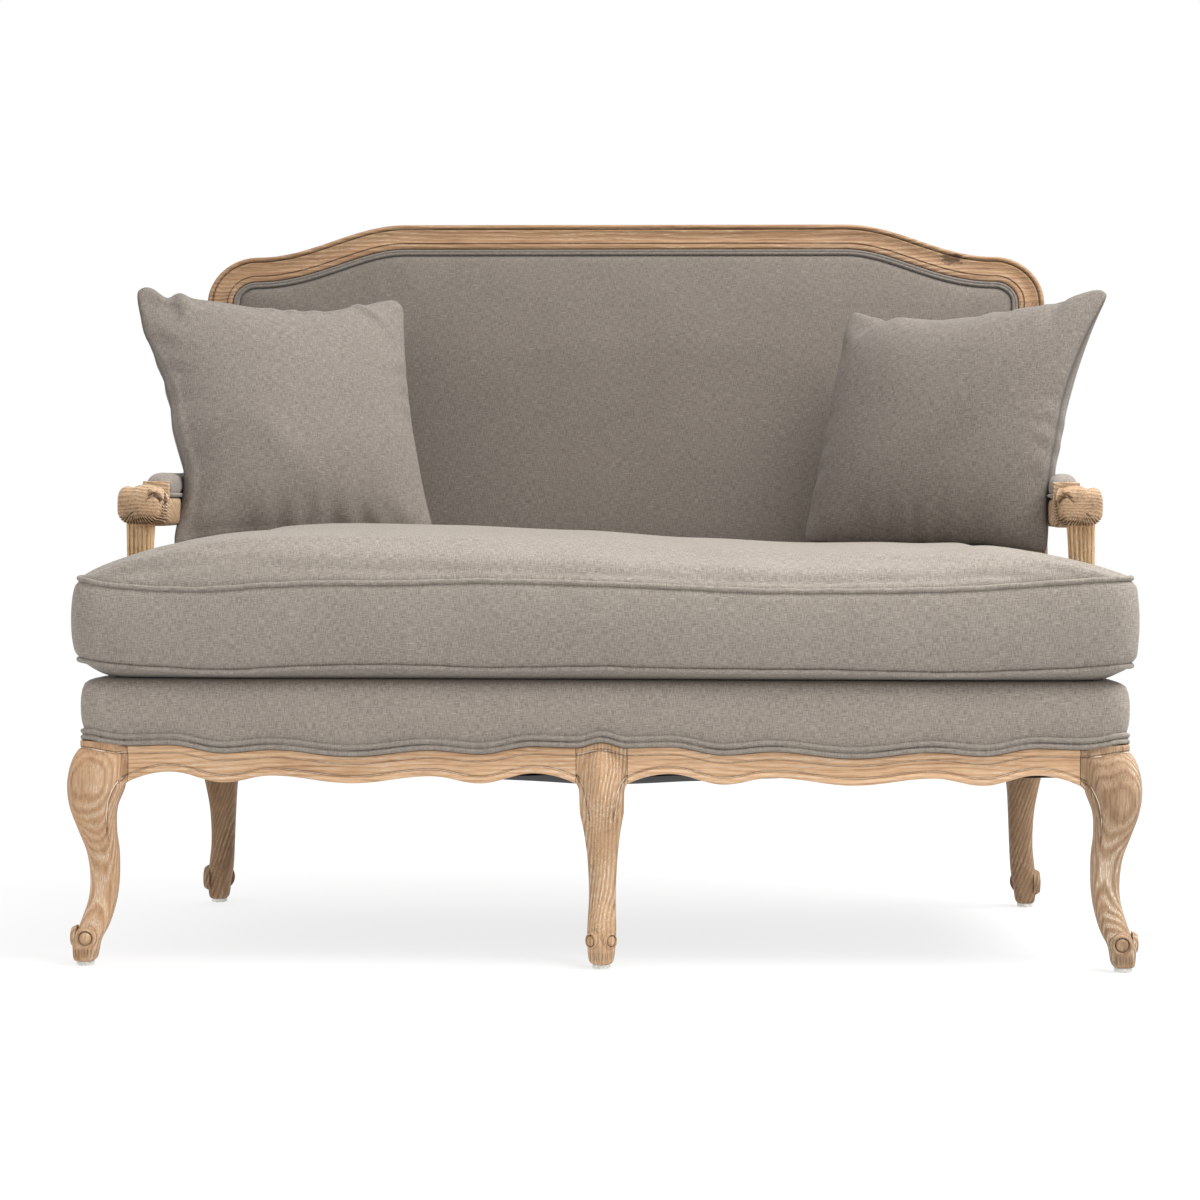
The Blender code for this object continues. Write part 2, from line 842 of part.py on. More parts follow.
def back_upholstery(back):
    """Inside cover and its welt, foam, webbing, outside cover and its welt."""
    panel_inset = frame_face + welt_width + 2 * clear
    centre = Vector((0, (back_height + back_foot) / 2))
    outline = back_outline(panel_inset, back_foot)
    rear = rebate_depth - clear
    cover = stuffed(outline, centre, rear, panel_edge, panel_dome)
    add("inside_back_cover", cover, LINEN, CLOTH_ROUGHNESS, back)
    welt = welt_loop(back_outline(frame_face + clear, back_foot), welt_width, rear, rebate_depth)
    add("inside_back_welt", welt, LINEN, CLOTH_ROUGHNESS, back)

    foam_inset = frame_face + rebate_width + 4 * clear
    foam_foot = lower_rail_low + lower_rail_height + clear
    foam_rear = rebate_depth + 0.0085
    outline = back_outline(foam_inset, foam_foot)
    rings = [[(p.x, y, p.y) for p in outline] for y in (rebate_depth, foam_rear)]
    add("back_foam", loft(rings), FOAM, CLOTH_ROUGHNESS, back)

    upright_count = 5
    cross_count = 3
    strap_front = foam_rear + clear
    top = back_height - crest_drop - frame_face - rebate_width
    foot = lower_rail_low + lower_rail_height + clear
    half = inner_half(foot, foam_inset)
    uprights = []
    for k in range(upright_count):
        x = half * (2 * (k + 0.5) / upright_count - 1)
        low = (x - strap_width / 2, strap_front, foot)
        uprights.append(box(low, (x + strap_width / 2, strap_front + strap_thick, top)))
    crossing = []
    cross_front = strap_front + strap_thick / 2
    for k in range(cross_count):
        z = foot + (top - strap_width - foot) * (k + 0.5) / cross_count
        reach = inner_half(z, foam_inset)
        low = (-reach, cross_front, z - strap_width / 2)
        crossing.append(box(low, (reach, cross_front + strap_thick, z + strap_width / 2)))
    webbing = add("back_webbing", joined(uprights), JUTE, CLOTH_ROUGHNESS, back)
    combine(webbing, [add_tool("back_webbing_cross", joined(crossing), back)], "UNION")

    outside_thick = 0.003
    outside_rise = 0.0045
    outside_front = frame_depth - rear_rebate + clear
    outside_inset = rear_margin + 2 * clear
    welt_front = outside_front + outside_thick + clear
    low_edge = math.tan(back_lean) * (welt_front + outside_rise) + 2 * clear
    outside_foot = frame_face - outside_inset + low_edge
    outline = back_outline(outside_inset, outside_foot)
    rings = [[(p.x, y, p.y) for p in outline] for y in (outside_front, outside_front + outside_thick)]
    add("outside_back_cover", loft(rings), LINEN, CLOTH_ROUGHNESS, back)
    outline = back_outline(outside_inset + clear, outside_foot)
    welt = welt_loop(outline, welt_width, welt_front, -outside_rise)
    add("outside_back_welt", welt, LINEN, CLOTH_ROUGHNESS, back)


strap_width = 0.050
strap_thick = 0.0012

# Across a double welt and out from its base: two half-round cords side by side
welt_shares = ((0.0, 0.0), (0.20, 1.0), (0.50, 0.60), (0.80, 1.0), (1.0, 0.0))


def welt_loop(outline, width, base, height):
    """A double welt that runs round inside an outline of the back and stands to the front."""
    points = list(reversed(outline))
    normals = outward(points)
    rings = []
    for point, normal in zip(points, normals):
        ring = []
        for across, out in welt_shares:
            place = point - normal * (width * across)
            ring.append((place.x, base - height * out, place.y))
        rings.append(ring)
    return loft(rings, loop=True)


def joined(meshes):
    """Gathers separate solids in one mesh."""
    bm = bmesh.new()
    for mesh in meshes:
        bm.from_mesh(mesh)
    return to_mesh(bm)


# Arm: carved knuckle at the front, then a plain shaft to the stile
knuckle_length = 0.058
knuckle_half_width = 0.032
knuckle_half_height = 0.027
knuckle_out = 0.013
knuckle_rise = 0.009
arm_sides = 20
# Along the knuckle, its width, its height, how far it spreads outwards
knuckle_shares = (
    (0.0, 0.60, 0.52, 1.0),
    (0.05, 0.82, 0.78, 1.0),
    (0.16, 0.96, 0.95, 1.0),
    (0.45, 1.00, 1.00, 1.0),
    (0.72, 0.94, 0.93, 0.8),
    (0.90, 0.74, 0.80, 0.3),
    (1.0, 0.63, 0.74, 0.0),
)
reed_share = 0.05


def arm_ring(x, y, z, half_width, half_height, squareness, reeds):
    """Cross-section of the arm, with reeds cut round its underside."""
    ring = []
    for i, (across, up) in enumerate(squircle(half_width, half_height, squareness, arm_sides)):
        cut = 1.0
        if up < 0 and i % 2:
            cut -= reeds
        ring.append((x + across * cut, y, z + up * cut))
    return ring


def arms(back):
    """Open arms: each a carved hand-hold, a bowed shaft and a flat seat for its pad."""
    shaft_steps = 8
    arm_squareness = 5.0
    knuckle_squareness = 3.4
    lip_thickness = 0.006
    lip_half = 0.018
    lip_height = 0.024
    lip_low = 0.010
    for side in (-1, 1):
        name = "arm_" + side_name(side)
        rings = []
        for along, width, height, spread in knuckle_shares:
            x = arm_x + knuckle_out * spread
            y = arm_front + knuckle_length * along
            z = arm_z + knuckle_rise * spread
            half_width = knuckle_half_width * width
            reeds = reed_share * spread
            half_height = knuckle_half_height * height
            rings.append(arm_ring(x, y, z, half_width, half_height, knuckle_squareness, reeds))
        start = arm_front + knuckle_length
        end = back_foot_y + math.tan(back_lean) * (arm_z - rail_top) + frame_depth
        for k in range(1, shaft_steps + 1):
            part = k / shaft_steps
            x = arm_x + arm_bow * math.sin(math.pi * part)
            y = start + (end - start) * part
            rings.append(arm_ring(x, y, arm_z, arm_half, arm_half, arm_squareness, 0.0))
        arm = add(name, mirrored(loft(rings), side), OAK, WOOD_ROUGHNESS)
        low = (arm_x - lip_half, start - lip_thickness, arm_z + lip_low)
        lip = box(low, (arm_x + lip_half, start, arm_z + arm_half + lip_height))
        combine(arm, [add_tool(name + "_lip", mirrored(lip, side))], "UNION")
        behind = box((arm_x - overrun, -clear, lower_rail_low), (arm_x + overrun, overrun, joint_height))
        seat = post_seat(2 * clear)
        cutters = [add_tool(name + "_end_cutter", mirrored(behind, side), back)]
        cutters.append(add_tool(name + "_post_cutter", mirrored(seat, side)))
        combine(arm, cutters, "DIFFERENCE")


post_below_arm = 0.011
post_top = arm_z - post_below_arm
post_half = 0.0185
post_flare = 0.006
post_sway = 0.012
post_sides = 20
post_squareness = 3.6
flute_share = 0.10
# Height up the post, sway to the rear, flare of its section
post_shares = (
    (0.0, 0.0, 1.0),
    (0.04, 0.05, 0.75),
    (0.12, 0.3, 0.25),
    (0.28, 0.8, 0.0),
    (0.50, 1.0, 0.0),
    (0.72, 0.75, 0.0),
    (0.88, 0.3, 0.1),
    (1.0, 0.0, 0.3),
)


def post_seat(gap):
    """The space that the head of an arm post takes up in the knuckle."""
    half = post_half + post_flare * post_shares[-1][2] + gap
    low = (post_head_x - half, post_y - half, arm_z - overrun)
    return box(low, (post_head_x + half, post_y + half, post_top + clear))


def arm_posts():
    """Fluted posts that curve from the side rail up to the knuckle."""
    foot = rail_top + clear
    for side in (-1, 1):
        rings = []
        for up, sway, flare in post_shares:
            x = post_foot_x + (post_head_x - post_foot_x) * up
            y = post_y + post_sway * sway
            z = foot + (post_top - foot) * up
            half = post_half + post_flare * flare
            ring = []
            for i, (a, b) in enumerate(squircle(half, half, post_squareness, post_sides)):
                cut = 1.0 - flute_share * (i % 2)
                ring.append((x + a * cut, y + b * cut, z))
            rings.append(ring)
        add("arm_post_" + side_name(side), mirrored(loft(rings), side), OAK, WOOD_ROUGHNESS)


pad_height = 0.036
pad_gap = 0.002
pad_front = arm_front + knuckle_length + pad_gap
pad_behind = 0.020
pad_rear = back_foot_y - pad_behind
# Size of each ring of a pad and its height, from its base up
pad_shares = ((1.0, 0.0), (1.03, 0.30), (1.0, 0.58), (0.90, 0.80), (0.68, 0.94), (0.34, 1.0))
pad_end_share = 0.72
pad_run_share = 0.25


def pad_outline(inset):
    """Plan outline of the right arm pad, following the bow of the arm."""
    start = arm_front + knuckle_length
    end = back_foot_y + math.tan(back_lean) * (arm_z - rail_top) + frame_depth
    steps = 8
    half = arm_half - inset
    right = []
    left = []
    for k in range(steps + 1):
        y = pad_front + inset + (pad_rear - pad_front - 2 * inset) * k / steps
        x = arm_x + arm_bow * math.sin(math.pi * (y - start) / (end - start))
        width = half * (1.0 if 0 < k < steps else pad_end_share)
        right.append(Vector((x + width, y)))
        left.append(Vector((x - width, y)))
    return right + list(reversed(left))


def arm_pads():
    """Stuffed pads tacked along the arms, each edged with a welt."""
    base = arm_z + arm_half + clear
    welt_radius = 0.0025
    for side in (-1, 1):
        outline = pad_outline(2 * welt_radius)
        middle = sum(outline, Vector((0, 0))) / len(outline)
        rings = []
        for share, up in pad_shares:
            ring = []
            for p in outline:
                across = (p.x - middle.x) * share
                along = (p.y - middle.y) * (1 - (1 - share) * pad_run_share)
                ring.append((middle.x + across, middle.y + along, base + pad_height * up))
            rings.append(ring)
        name = side_name(side)
        add("arm_pad_" + name, mirrored(loft(rings), side), LINEN, CLOTH_ROUGHNESS)
        track = [(p.x, p.y, base + welt_radius) for p in pad_outline(welt_radius / 2)]
        welt = tube(track, welt_radius, tube_resolution, True)
        add("arm_pad_welt_" + name, mirrored(welt, side), LINEN, CLOTH_ROUGHNESS)


def half_edge():
    """The right half of the seat frame's edge, from the middle of the front to the rear."""
    stations = [row for row in centre_stations() if row[0].x >= 0]
    stations += front_stations()[1:]
    stations += corner_stations()[1:]
    stations += [row for row in side_stations()[1:] if row[0].y < deck_rear]
    return stations


deck_behind = 0.011
deck_rear = back_foot_y - deck_behind
deck_wall = 0.003
deck_tuck = 0.005
deck_slack = 0.003
deck_bulge = 0.0058
deck_welt_width = 0.015
deck_welt_rise = 0.0045
# Rings of the deck cover: outward place in bulges, height as a share from the welt to the top
deck_ring_shares = ((0.0, 0.0), (1.0, 0.28), (0.9, 0.66), (-0.4, 0.90), (-3.2, 1.0))


def whole_edge():
    """The edge from the left rear round the front to the right rear."""
    right = half_edge()
    left = []
    for point, normal, bottom, top in reversed(right[1:]):
        left.append((Vector((-point.x, point.y)), Vector((-normal.x, normal.y)), bottom, top))
    return left + right


def thinned(stations):
    """Every other station out from the middle one, and both ends: cloth needs less detail."""
    odd = (len(stations) // 2) % 2
    kept = stations[odd::2]
    return [stations[0]] + kept + [stations[-1]] if odd else kept


def deck_cover():
    """The cloth band and platform of the seat: a shell with an open base and rear."""
    bm = bmesh.new()
    columns = []
    for point, normal, _, top in thinned(whole_edge()):
        column = [bm.verts.new((point.x, point.y, top + deck_tuck))]
        foot = top + deck_welt_width + deck_slack
        for out, up in deck_ring_shares:
            place = point + normal * (deck_bulge * out)
            column.append(bm.verts.new((place.x, place.y, foot + (deck_top - foot) * up)))
        columns.append(column)
    for a, b in zip(columns, columns[1:]):
        for i in range(len(a) - 1):
            bm.faces.new((a[i], b[i], b[i + 1], a[i + 1]))
    bm.faces.new([column[-1] for column in columns])
    cover = add("deck_cover", to_mesh(bm), LINEN, CLOTH_ROUGHNESS)
    flip_up(cover.data)
    shell = cover.modifiers.new("cloth", "SOLIDIFY")
    shell.thickness = deck_wall
    shell.offset = -1
    notches = []
    for side in (-1, 1):
        notches.append(add_tool(f"deck_notch_{side_name(side)}", mirrored(post_notch(), side)))
    combine(cover, notches, "DIFFERENCE")


def flip_up(mesh):
    """Turns an open shell so that its largest face looks up."""
    largest = max(mesh.polygons, key=lambda face: face.area)
    if largest.normal.z < 0:
        mesh.flip_normals()


def post_notch():
    """The space kept free round the foot of an arm post, open to the outside."""
    gap = 0.001
    half = post_half + post_flare + gap
    low = (post_foot_x - half, post_y - half, rail_top + clear / 2)
    return box(low, (post_foot_x + overrun, post_y + half + post_sway, rail_top + overrun))


def deck_welt():
    """A double welt tacked along the serpentine edge, over the raw edge of the cloth."""
    rings = []
    for point, normal, _, top in whole_edge():
        ring = []
        for across, out in welt_shares:
            place = point + normal * (clear + deck_welt_rise * out)
            ring.append((place.x, place.y, top + clear + deck_welt_width * across))
        rings.append(ring)
    add("deck_welt", loft(rings), LINEN, CLOTH_ROUGHNESS)


def seat_filling():
    """Foam slab, elastic webbing both ways and the black cloth under the seat."""
    long_base = rail_top + clear
    cross_base = long_base + strap_thick / 2
    foam_base = cross_base + strap_thick + clear
    foam_top = deck_top - deck_wall - clear
    inset = 0.020
    corners = [
        (side_x(deck_rear) - inset, deck_rear - inset, inset),
        (-side_x(deck_rear) + inset, deck_rear - inset, inset),
        (-seat_half_front + inset, seat_front + inset, seat_corner_radius),
        (seat_half_front - inset, seat_front + inset, seat_corner_radius),
    ]
    outline, _ = rounded(corners, 4, 2 * seat_half_front)
    foam = add("deck_foam", prism(outline, foam_base, foam_top), FOAM, CLOTH_ROUGHNESS)
    notches = []
    for side in (-1, 1):
        notches.append(add_tool(f"foam_notch_{side_name(side)}", mirrored(post_notch(), side)))
    combine(foam, notches, "DIFFERENCE")

    long_count = 6
    cross_count = 3
    spread = rear_foot_x - rear_post_side - strap_width
    tack = 0.012
    lengthwise = []
    for k in range(long_count):
        x = spread * (2 * k / (long_count - 1) - 1)
        low = (x - strap_width / 2, seat_front + tack, long_base)
        lengthwise.append(box(low, (x + strap_width / 2, seat_rear - tack, long_base + strap_thick)))
    strap_margin = 0.113
    first_cross = seat_front + strap_margin
    cross_spacing = 0.160
    crossing = []
    for k in range(cross_count):
        y = first_cross + cross_spacing * k
        reach = side_x(y) - rail_rebate - tack / 2
        low = (-reach, y - strap_width / 2, cross_base)
        crossing.append(box(low, (reach, y + strap_width / 2, cross_base + strap_thick)))
    webbing = add("seat_webbing", joined(lengthwise), JUTE, CLOTH_ROUGHNESS)
    combine(webbing, [add_tool("seat_webbing_cross", joined(crossing))], "UNION")


dust_below_apron = 0.0396
dust_edge = apron_line - dust_below_apron
dust_sag = 0.027
dust_wall = 0.001


def dust_cover():
    """Black cambric between the seat rails, sagging a little in the middle."""
    gap = 2 * clear
    front = seat_front + rail_thickness + gap
    rear = seat_rear - rail_thickness - gap
    across_steps = 10
    along_steps = 4
    bm = bmesh.new()
    bmesh.ops.create_grid(bm, x_segments=across_steps, y_segments=along_steps, size=1.0)
    for vert in bm.verts:
        u, v = vert.co.x, vert.co.y
        y = front + (rear - front) * (v + 1) / 2
        half = side_x(y) - rail_thickness - gap
        vert.co = (half * u, y, dust_edge - dust_sag * (1 - u * u) * (1 - v * v))
    cover = add("dust_cover", to_mesh(bm), CAMBRIC, CLOTH_ROUGHNESS)
    flip_up(cover.data)
    shell = cover.modifiers.new("cloth", "SOLIDIFY")
    shell.thickness = dust_wall
    shell.offset = -1
    notches = []
    reach = post_inner_face - gap
    for side in (-1, 1):
        low = (corner_head_start - gap, seat_front - overrun, 0)
        notch = box(low, (seat_half_front + overrun, side_head_end + gap, rail_top))
        notches.append(add_tool("dust_notch_front", mirrored(notch, side)))
        low = (reach, side_rail_end - gap, 0)
        notch = box(low, (reach + overrun, seat_rear + overrun, rail_top))
        notches.append(add_tool("dust_notch_rear", mirrored(notch, side)))
    centre_reach = centre_head_half + gap
    low = (-centre_reach, seat_front - overrun, 0)
    notch = box(low, (centre_reach, seat_front + knee_side, rail_top))
    notches.append(add_tool("dust_notch_centre", notch))
    combine(cover, notches, "DIFFERENCE")


brace_half = 0.0175
brace_height = 0.050
block_below_top = 0.009
block_height = 0.040
block_high = rail_top - block_below_top
block_low = block_high - block_height


def seat_brace():
    """A stretcher from the head of the centre leg to the rear rail."""
    front = seat_front + rail_thickness + clear
    low = (-brace_half, front, block_high - brace_height)
    high = (brace_half, seat_rear - rail_thickness - clear, block_high)
    add("seat_centre_brace", box(low, high), BEECH, WOOD_ROUGHNESS)


def corner_blocks():
    """Glued and screwed blocks behind the four corners of the seat frame."""
    gap = 2 * clear
    leg = 0.065
    front_y = seat_front + rail_thickness + gap
    rear_y = seat_rear - rail_thickness - gap
    post_x = post_inner_face - gap
    post_face = side_rail_end - gap

    def inner_side(y):
        return side_x(y) - rail_thickness - gap

    front_end = side_head_end + leg
    rear_end = rear_y - leg
    front_outline = [
        (corner_head_start - leg, front_y),
        (corner_head_start - gap, front_y),
        (corner_head_start - gap, side_head_end + gap),
        (inner_side(side_head_end), side_head_end + gap),
        (inner_side(front_end), front_end),
    ]
    rear_outline = [
        (post_x - leg, rear_y),
        (inner_side(rear_end), rear_end),
        (inner_side(post_face), post_face),
        (post_x, post_face),
        (post_x, rear_y),
    ]
    faces = (
        ("front", front_outline, front_outline[0], front_outline[4]),
        ("rear", rear_outline, rear_outline[1], rear_outline[0]),
    )
    for end, outline, start, finish in faces:
        for side in (-1, 1):
            name = f"corner_block_{end}_{side_name(side)}"
            block = prism(outline, block_low, block_high)
            piece = add(name, mirrored(block, side), BEECH, WOOD_ROUGHNESS)
            matrix = screw_place(Vector(start), Vector(finish))
            screw = screw_shape(0)
            screw.transform(matrix)
            add(name + "_screw", mirrored(screw, side), STEEL, HARD_ROUGHNESS)
            bore = screw_shape(clear)
            bore.transform(matrix)
            combine(piece, [add_tool(name + "_bore", mirrored(bore, side))], "DIFFERENCE")


screw_length = 0.020
screw_radius = 0.0022
screw_head = 0.0042
screw_sides = 8


def screw_place(start, finish):
    """Middle of a screw's head on a block's long face, its Z pointing out of the wood."""
    run = (finish - start).normalized()
    outwards = Vector((-run.y, run.x))
    place = (start + finish) / 2
    angle = math.atan2(outwards.y, outwards.x)
    matrix = Matrix.Translation((place.x, place.y, (block_low + block_high) / 2))
    return matrix @ Matrix.Rotation(angle, 4, "Z") @ Matrix.Rotation(math.pi / 2, 4, "Y")


def screw_shape(gap):
    """A countersunk screw with its head flush, or its bore when a gap is given."""
    profile = [(screw_radius + gap, -screw_length - gap), (screw_radius + gap, -screw_head + screw_radius)]
    profile.append((screw_head + gap, -clear))
    if gap:
        profile.append((screw_head + gap, screw_head))
    return turned(profile, screw_sides)


def cushion_outline():
    """Plan outline of the T-shaped cushion: ears in front of the arm posts, then the neck."""
    corner = 0.034
    small = 0.014
    notch = 0.010
    corners = []
    for side in (1, -1):
        rows = [
            (side * cushion_half_front, cushion_front, corner),
            (side * cushion_half_front, cushion_ear, small),
            (side * cushion_half_neck, cushion_ear, notch),
            (side * cushion_half_rear, cushion_rear, corner),
        ]
        corners += rows if side > 0 else list(reversed(rows))
    return corners


# Rings of the cushion above its upper seam: size, rise to the crown
crown_shares = ((0.980, 0.26), (0.95, 0.50), (0.88, 0.75), (0.75, 0.91), (0.52, 0.98), (0.25, 1.0))
crown_fall_share = 0.30
crown_side_share = 0.28
base_shares = (0.93, 0.97)
# Heights of the border between its seams and how far it swells
border_shares = ((0.0, 0.0), (0.22, 0.8), (0.50, 1.0), (0.78, 0.8), (1.0, 0.0))
border_swell = 0.010
seam_centre_run = 0.086
seam_centre = cushion_front + seam_centre_run
crown_rear_share = 2.4
crown_tilt_share = 0.15
crown_peak_run = 0.306
crown_peak = cushion_front + crown_peak_run


def crown_at(x, y):
    """Height of the crown over the upper seam: fullest left of the middle, less to the rear."""
    front_run = (crown_peak - y) / (crown_peak - cushion_front)
    rear_run = (y - crown_peak) / (cushion_rear - crown_peak)
    run = max(front_run, rear_run * crown_rear_share)
    across = x / cushion_half_front
    falls = (1 - crown_fall_share * run * run) * (1 - crown_side_share * across ** 6)
    return cushion_crown * falls * (1 - crown_tilt_share * across)


def cushion_rings(points, normals):
    """All rings of the cushion from its flat base up to the top of its crown."""
    rings = []
    centre = Vector((0, seam_centre))
    base = deck_top + clear
    for share in base_shares:
        ring = []
        for p in points:
            place = centre + (p - centre) * share
            ring.append((place.x, place.y, base))
        rings.append(ring)
    for up, swell in border_shares:
        height = seam_low + (seam_high - seam_low) * up
        ring = []
        for p, n in zip(points, normals):
            place = p + n * (border_swell * swell)
            ring.append((place.x, place.y, height))
        rings.append(ring)
    for share, rise in crown_shares:
        ring = []
        for p in points:
            place = centre + (p - centre) * share
            height = seam_high + crown_at(place.x, place.y) * rise
            ring.append((place.x, place.y, height))
        rings.append(ring)
    return rings


def seat_cushion():
    """The loose cushion with its crown and swelling border, and a welt along each seam."""
    holder = bpy.data.objects.new("seat_cushion_slide", None)
    bpy.data.collections[PARTS].objects.link(holder)
    arc_steps = 3
    spacing = 0.150
    welt_radius = 0.0042
    points, normals = rounded(cushion_outline(), arc_steps, spacing)
    mesh = loft(cushion_rings(points, normals))
    add("seat_cushion", mesh, LINEN, CLOTH_ROUGHNESS, holder)
    for name, height in (("low", seam_low), ("high", seam_high)):
        track = []
        for p, n in zip(points, normals):
            place = p + n * (welt_radius + 3 * clear)
            track.append((place.x, place.y, height))
        welt = tube(track, welt_radius, tube_resolution, True)
        add("seat_cushion_welt_" + name, welt, LINEN, CLOTH_ROUGHNESS, holder)


# Throw pillows: middle, turn towards the sitter, lean to the rear, roll
pillow_over_arm = 0.039
right_pillow_over_arm = 0.043
pillow_forward = 0.158
right_pillow_forward = 0.160
pillow_lift = 0.0435
right_pillow_lift = 0.0343
left_pillow_x = pillow_half - pillow_over_arm - arm_x
left_pillow_y = back_foot_y - pillow_forward
left_pillow_z = seam_high + pillow_half + pillow_lift
right_pillow_x = arm_x - pillow_half + right_pillow_over_arm
right_pillow_y = back_foot_y - right_pillow_forward
right_pillow_z = seam_high + pillow_half + right_pillow_lift
pillow_turns = {-1: math.radians(25), 1: math.radians(-30)}
pillow_lean = math.radians(-22)
pillow_pinch = 0.018
pillow_ear = 0.016
arm_dents = {-1: 0.022, 1: 0.004}
dent_middle_share = -0.55
dent_reach_share = 0.50
ear_lift_share = 0.3
pillow_plump = 2.6
pillow_fill = 0.62


def pillow_shape(side):
    """Half of a knife-edge pillow: a full middle, a straight foot, sides and top drawn in,
    deepest where the arm presses the outer side, and a long outer top corner."""
    cells = 10
    bm = bmesh.new()
    bmesh.ops.create_grid(bm, x_segments=cells, y_segments=cells, size=1.0)
    for vert in bm.verts:
        u, v = vert.co.x, vert.co.y
        outer = max(0.0, side * u)
        near = max(0.0, 1 - ((v - dent_middle_share) / dent_reach_share) ** 2)
        pinch = pillow_pinch * (1 - v * v) + arm_dents[side] * outer * near * near
        ear = pillow_ear * outer ** 3 * max(0.0, v) ** 3
        x = u * (pillow_half - pinch) + side * ear
        seam_pinch = pillow_pinch if v > 0 else 0.0
        z = v * (pillow_half - seam_pinch * (1 - u * u)) + ear_lift_share * ear
        full = max(0.0, 1 - abs(u) ** pillow_plump) * max(0.0, 1 - abs(v) ** pillow_plump)
        vert.co = (x, -pillow_thick * full ** pillow_fill, z)
    mesh = to_mesh(bm)
    if mesh.polygons[0].normal.y > 0:
        mesh.flip_normals()
    return mesh


def throw_pillows():
    """Two pillows leaning in the corners between the back and the arms."""
    places = {
        -1: (left_pillow_x, left_pillow_y, left_pillow_z),
        1: (right_pillow_x, right_pillow_y, right_pillow_z),
    }
    for side in (-1, 1):
        name = side_name(side)
        holder = bpy.data.objects.new("throw_pillow_slide_" + name, None)
        bpy.data.collections[PARTS].objects.link(holder)
        holder.location = places[side]
        pillow = add("throw_pillow_" + name, pillow_shape(side), LINEN, CLOTH_ROUGHNESS, holder)
        turn = Matrix.Rotation(pillow_turns[side], 3, "Z") @ Matrix.Rotation(pillow_lean, 3, "X")
        pillow.rotation_euler = turn.to_euler()
        double = pillow.modifiers.new("rear", "MIRROR")
        double.use_axis = (False, True, False)
        double.merge_threshold = clear / 10


def main():
    new_scene()
    back = bpy.data.objects.new("back_frame", None)
    bpy.data.collections[PARTS].objects.link(back)
    back.location = (0, back_foot_y, rail_top)
    back.rotation_euler = (-back_lean, 0, 0)
    bpy.context.view_layer.update()

    seat_rails()
    front_corner_legs()
    front_centre_leg()
    rear_posts(back)
    crest_rail(back)
    back_lower_rail(back)
    back_upholstery(back)
    arms(back)
    arm_posts()
    arm_pads()
    deck_cover()
    deck_welt()
    seat_filling()
    dust_cover()
    seat_brace()
    corner_blocks()
    foot_glides()
    seat_cushion()
    throw_pillows()


main()
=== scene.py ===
import math

import bpy
import numpy as np
from mathutils import Matrix, Vector


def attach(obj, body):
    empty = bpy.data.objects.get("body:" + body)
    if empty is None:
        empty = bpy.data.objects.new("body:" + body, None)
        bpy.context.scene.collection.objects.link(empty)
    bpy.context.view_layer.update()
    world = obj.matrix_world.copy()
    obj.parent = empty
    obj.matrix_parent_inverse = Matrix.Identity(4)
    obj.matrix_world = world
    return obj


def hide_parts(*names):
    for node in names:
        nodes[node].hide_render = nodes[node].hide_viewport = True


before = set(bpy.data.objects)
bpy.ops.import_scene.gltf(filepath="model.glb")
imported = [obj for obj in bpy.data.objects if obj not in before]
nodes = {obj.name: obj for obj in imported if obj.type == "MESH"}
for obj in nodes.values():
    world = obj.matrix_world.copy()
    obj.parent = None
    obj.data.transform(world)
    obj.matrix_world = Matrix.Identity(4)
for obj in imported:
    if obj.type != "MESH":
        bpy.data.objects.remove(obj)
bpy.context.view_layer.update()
bpy.context.scene.view_settings.view_transform = "Standard"

# ---------------------------------------------------------------------------
# Seat rails. Two serpentine rails in front and one on each side, sawn from oak,
# moulded with a fillet, a hollow and a bead, then wire-brushed and limed: the
# white paste stays in the pores and in the quirks of the moulding.

seat_half_front = 0.671
seat_half_rear = 0.630
seat_front = -0.370
seat_rear = 0.245
rail_thickness = 0.036
rail_top = 0.345
apron_line = 0.2836
apron_height = 0.0346
scallop_drop = 0.014
spring_drop = 0.013
spring_share = 0.811
scallop_shares = ((0, 1, 1), (0.357, 0.40, 0.32), (0.572, 0.72, 0.96), (spring_share, 0, 0), (1, 0.10, 0))
corner_head = 0.061
centre_head_half = 0.033
corner_head_start = seat_half_front - corner_head
side_head_end = seat_front + corner_head
side_rail_end = 0.2002
fillet_height = 0.0090
bead_height = 0.0090
joint_gap = 0.0003


def side_x(y):
    """Outer face of the side rail: the seat narrows to the rear."""
    part = (y - seat_front) / (seat_rear - seat_front)
    return seat_half_front + (seat_half_rear - seat_half_front) * part


def waved(share, table, column):
    """A column of a table, joined by waves that are level at its rows."""
    for low, high in zip(table, table[1:]):
        if share <= high[0]:
            part = (share - low[0]) / (high[0] - low[0])
            return low[column] + (high[column] - low[column]) * (1 - math.cos(math.pi * part)) / 2
    return table[-1][column]


def scallop(share):
    """Lower and upper line of a rail at a share of its half length."""
    share = abs(share)
    top = apron_line - scallop_drop * waved(share, scallop_shares, 1)
    bottom = apron_line - apron_height - scallop_drop * waved(share, scallop_shares, 2)
    spring = max(0, (share - spring_share) / (1 - spring_share))
    return bottom - spring_drop * spring * spring, top


# Outward place, height below the upper line, paste left in it
fillet_shares = (
    (-0.0060, 0.0000, 0.0),
    (-0.0012, 0.0000, 0.2),
    (-0.0003, 0.0005, 0.1),
    (0.0000, 0.0016, 0.0),
    (0.0002, 0.0045, 0.0),
    (0.0000, 0.0074, 0.0),
    (-0.0007, 0.0084, 0.1),
    (-0.0034, 0.0090, 0.5),
    (-0.0037, 0.0097, 1.0),
    (-0.0034, 0.0104, 0.2),
    (-0.0030, 0.0112, 0.0),
)
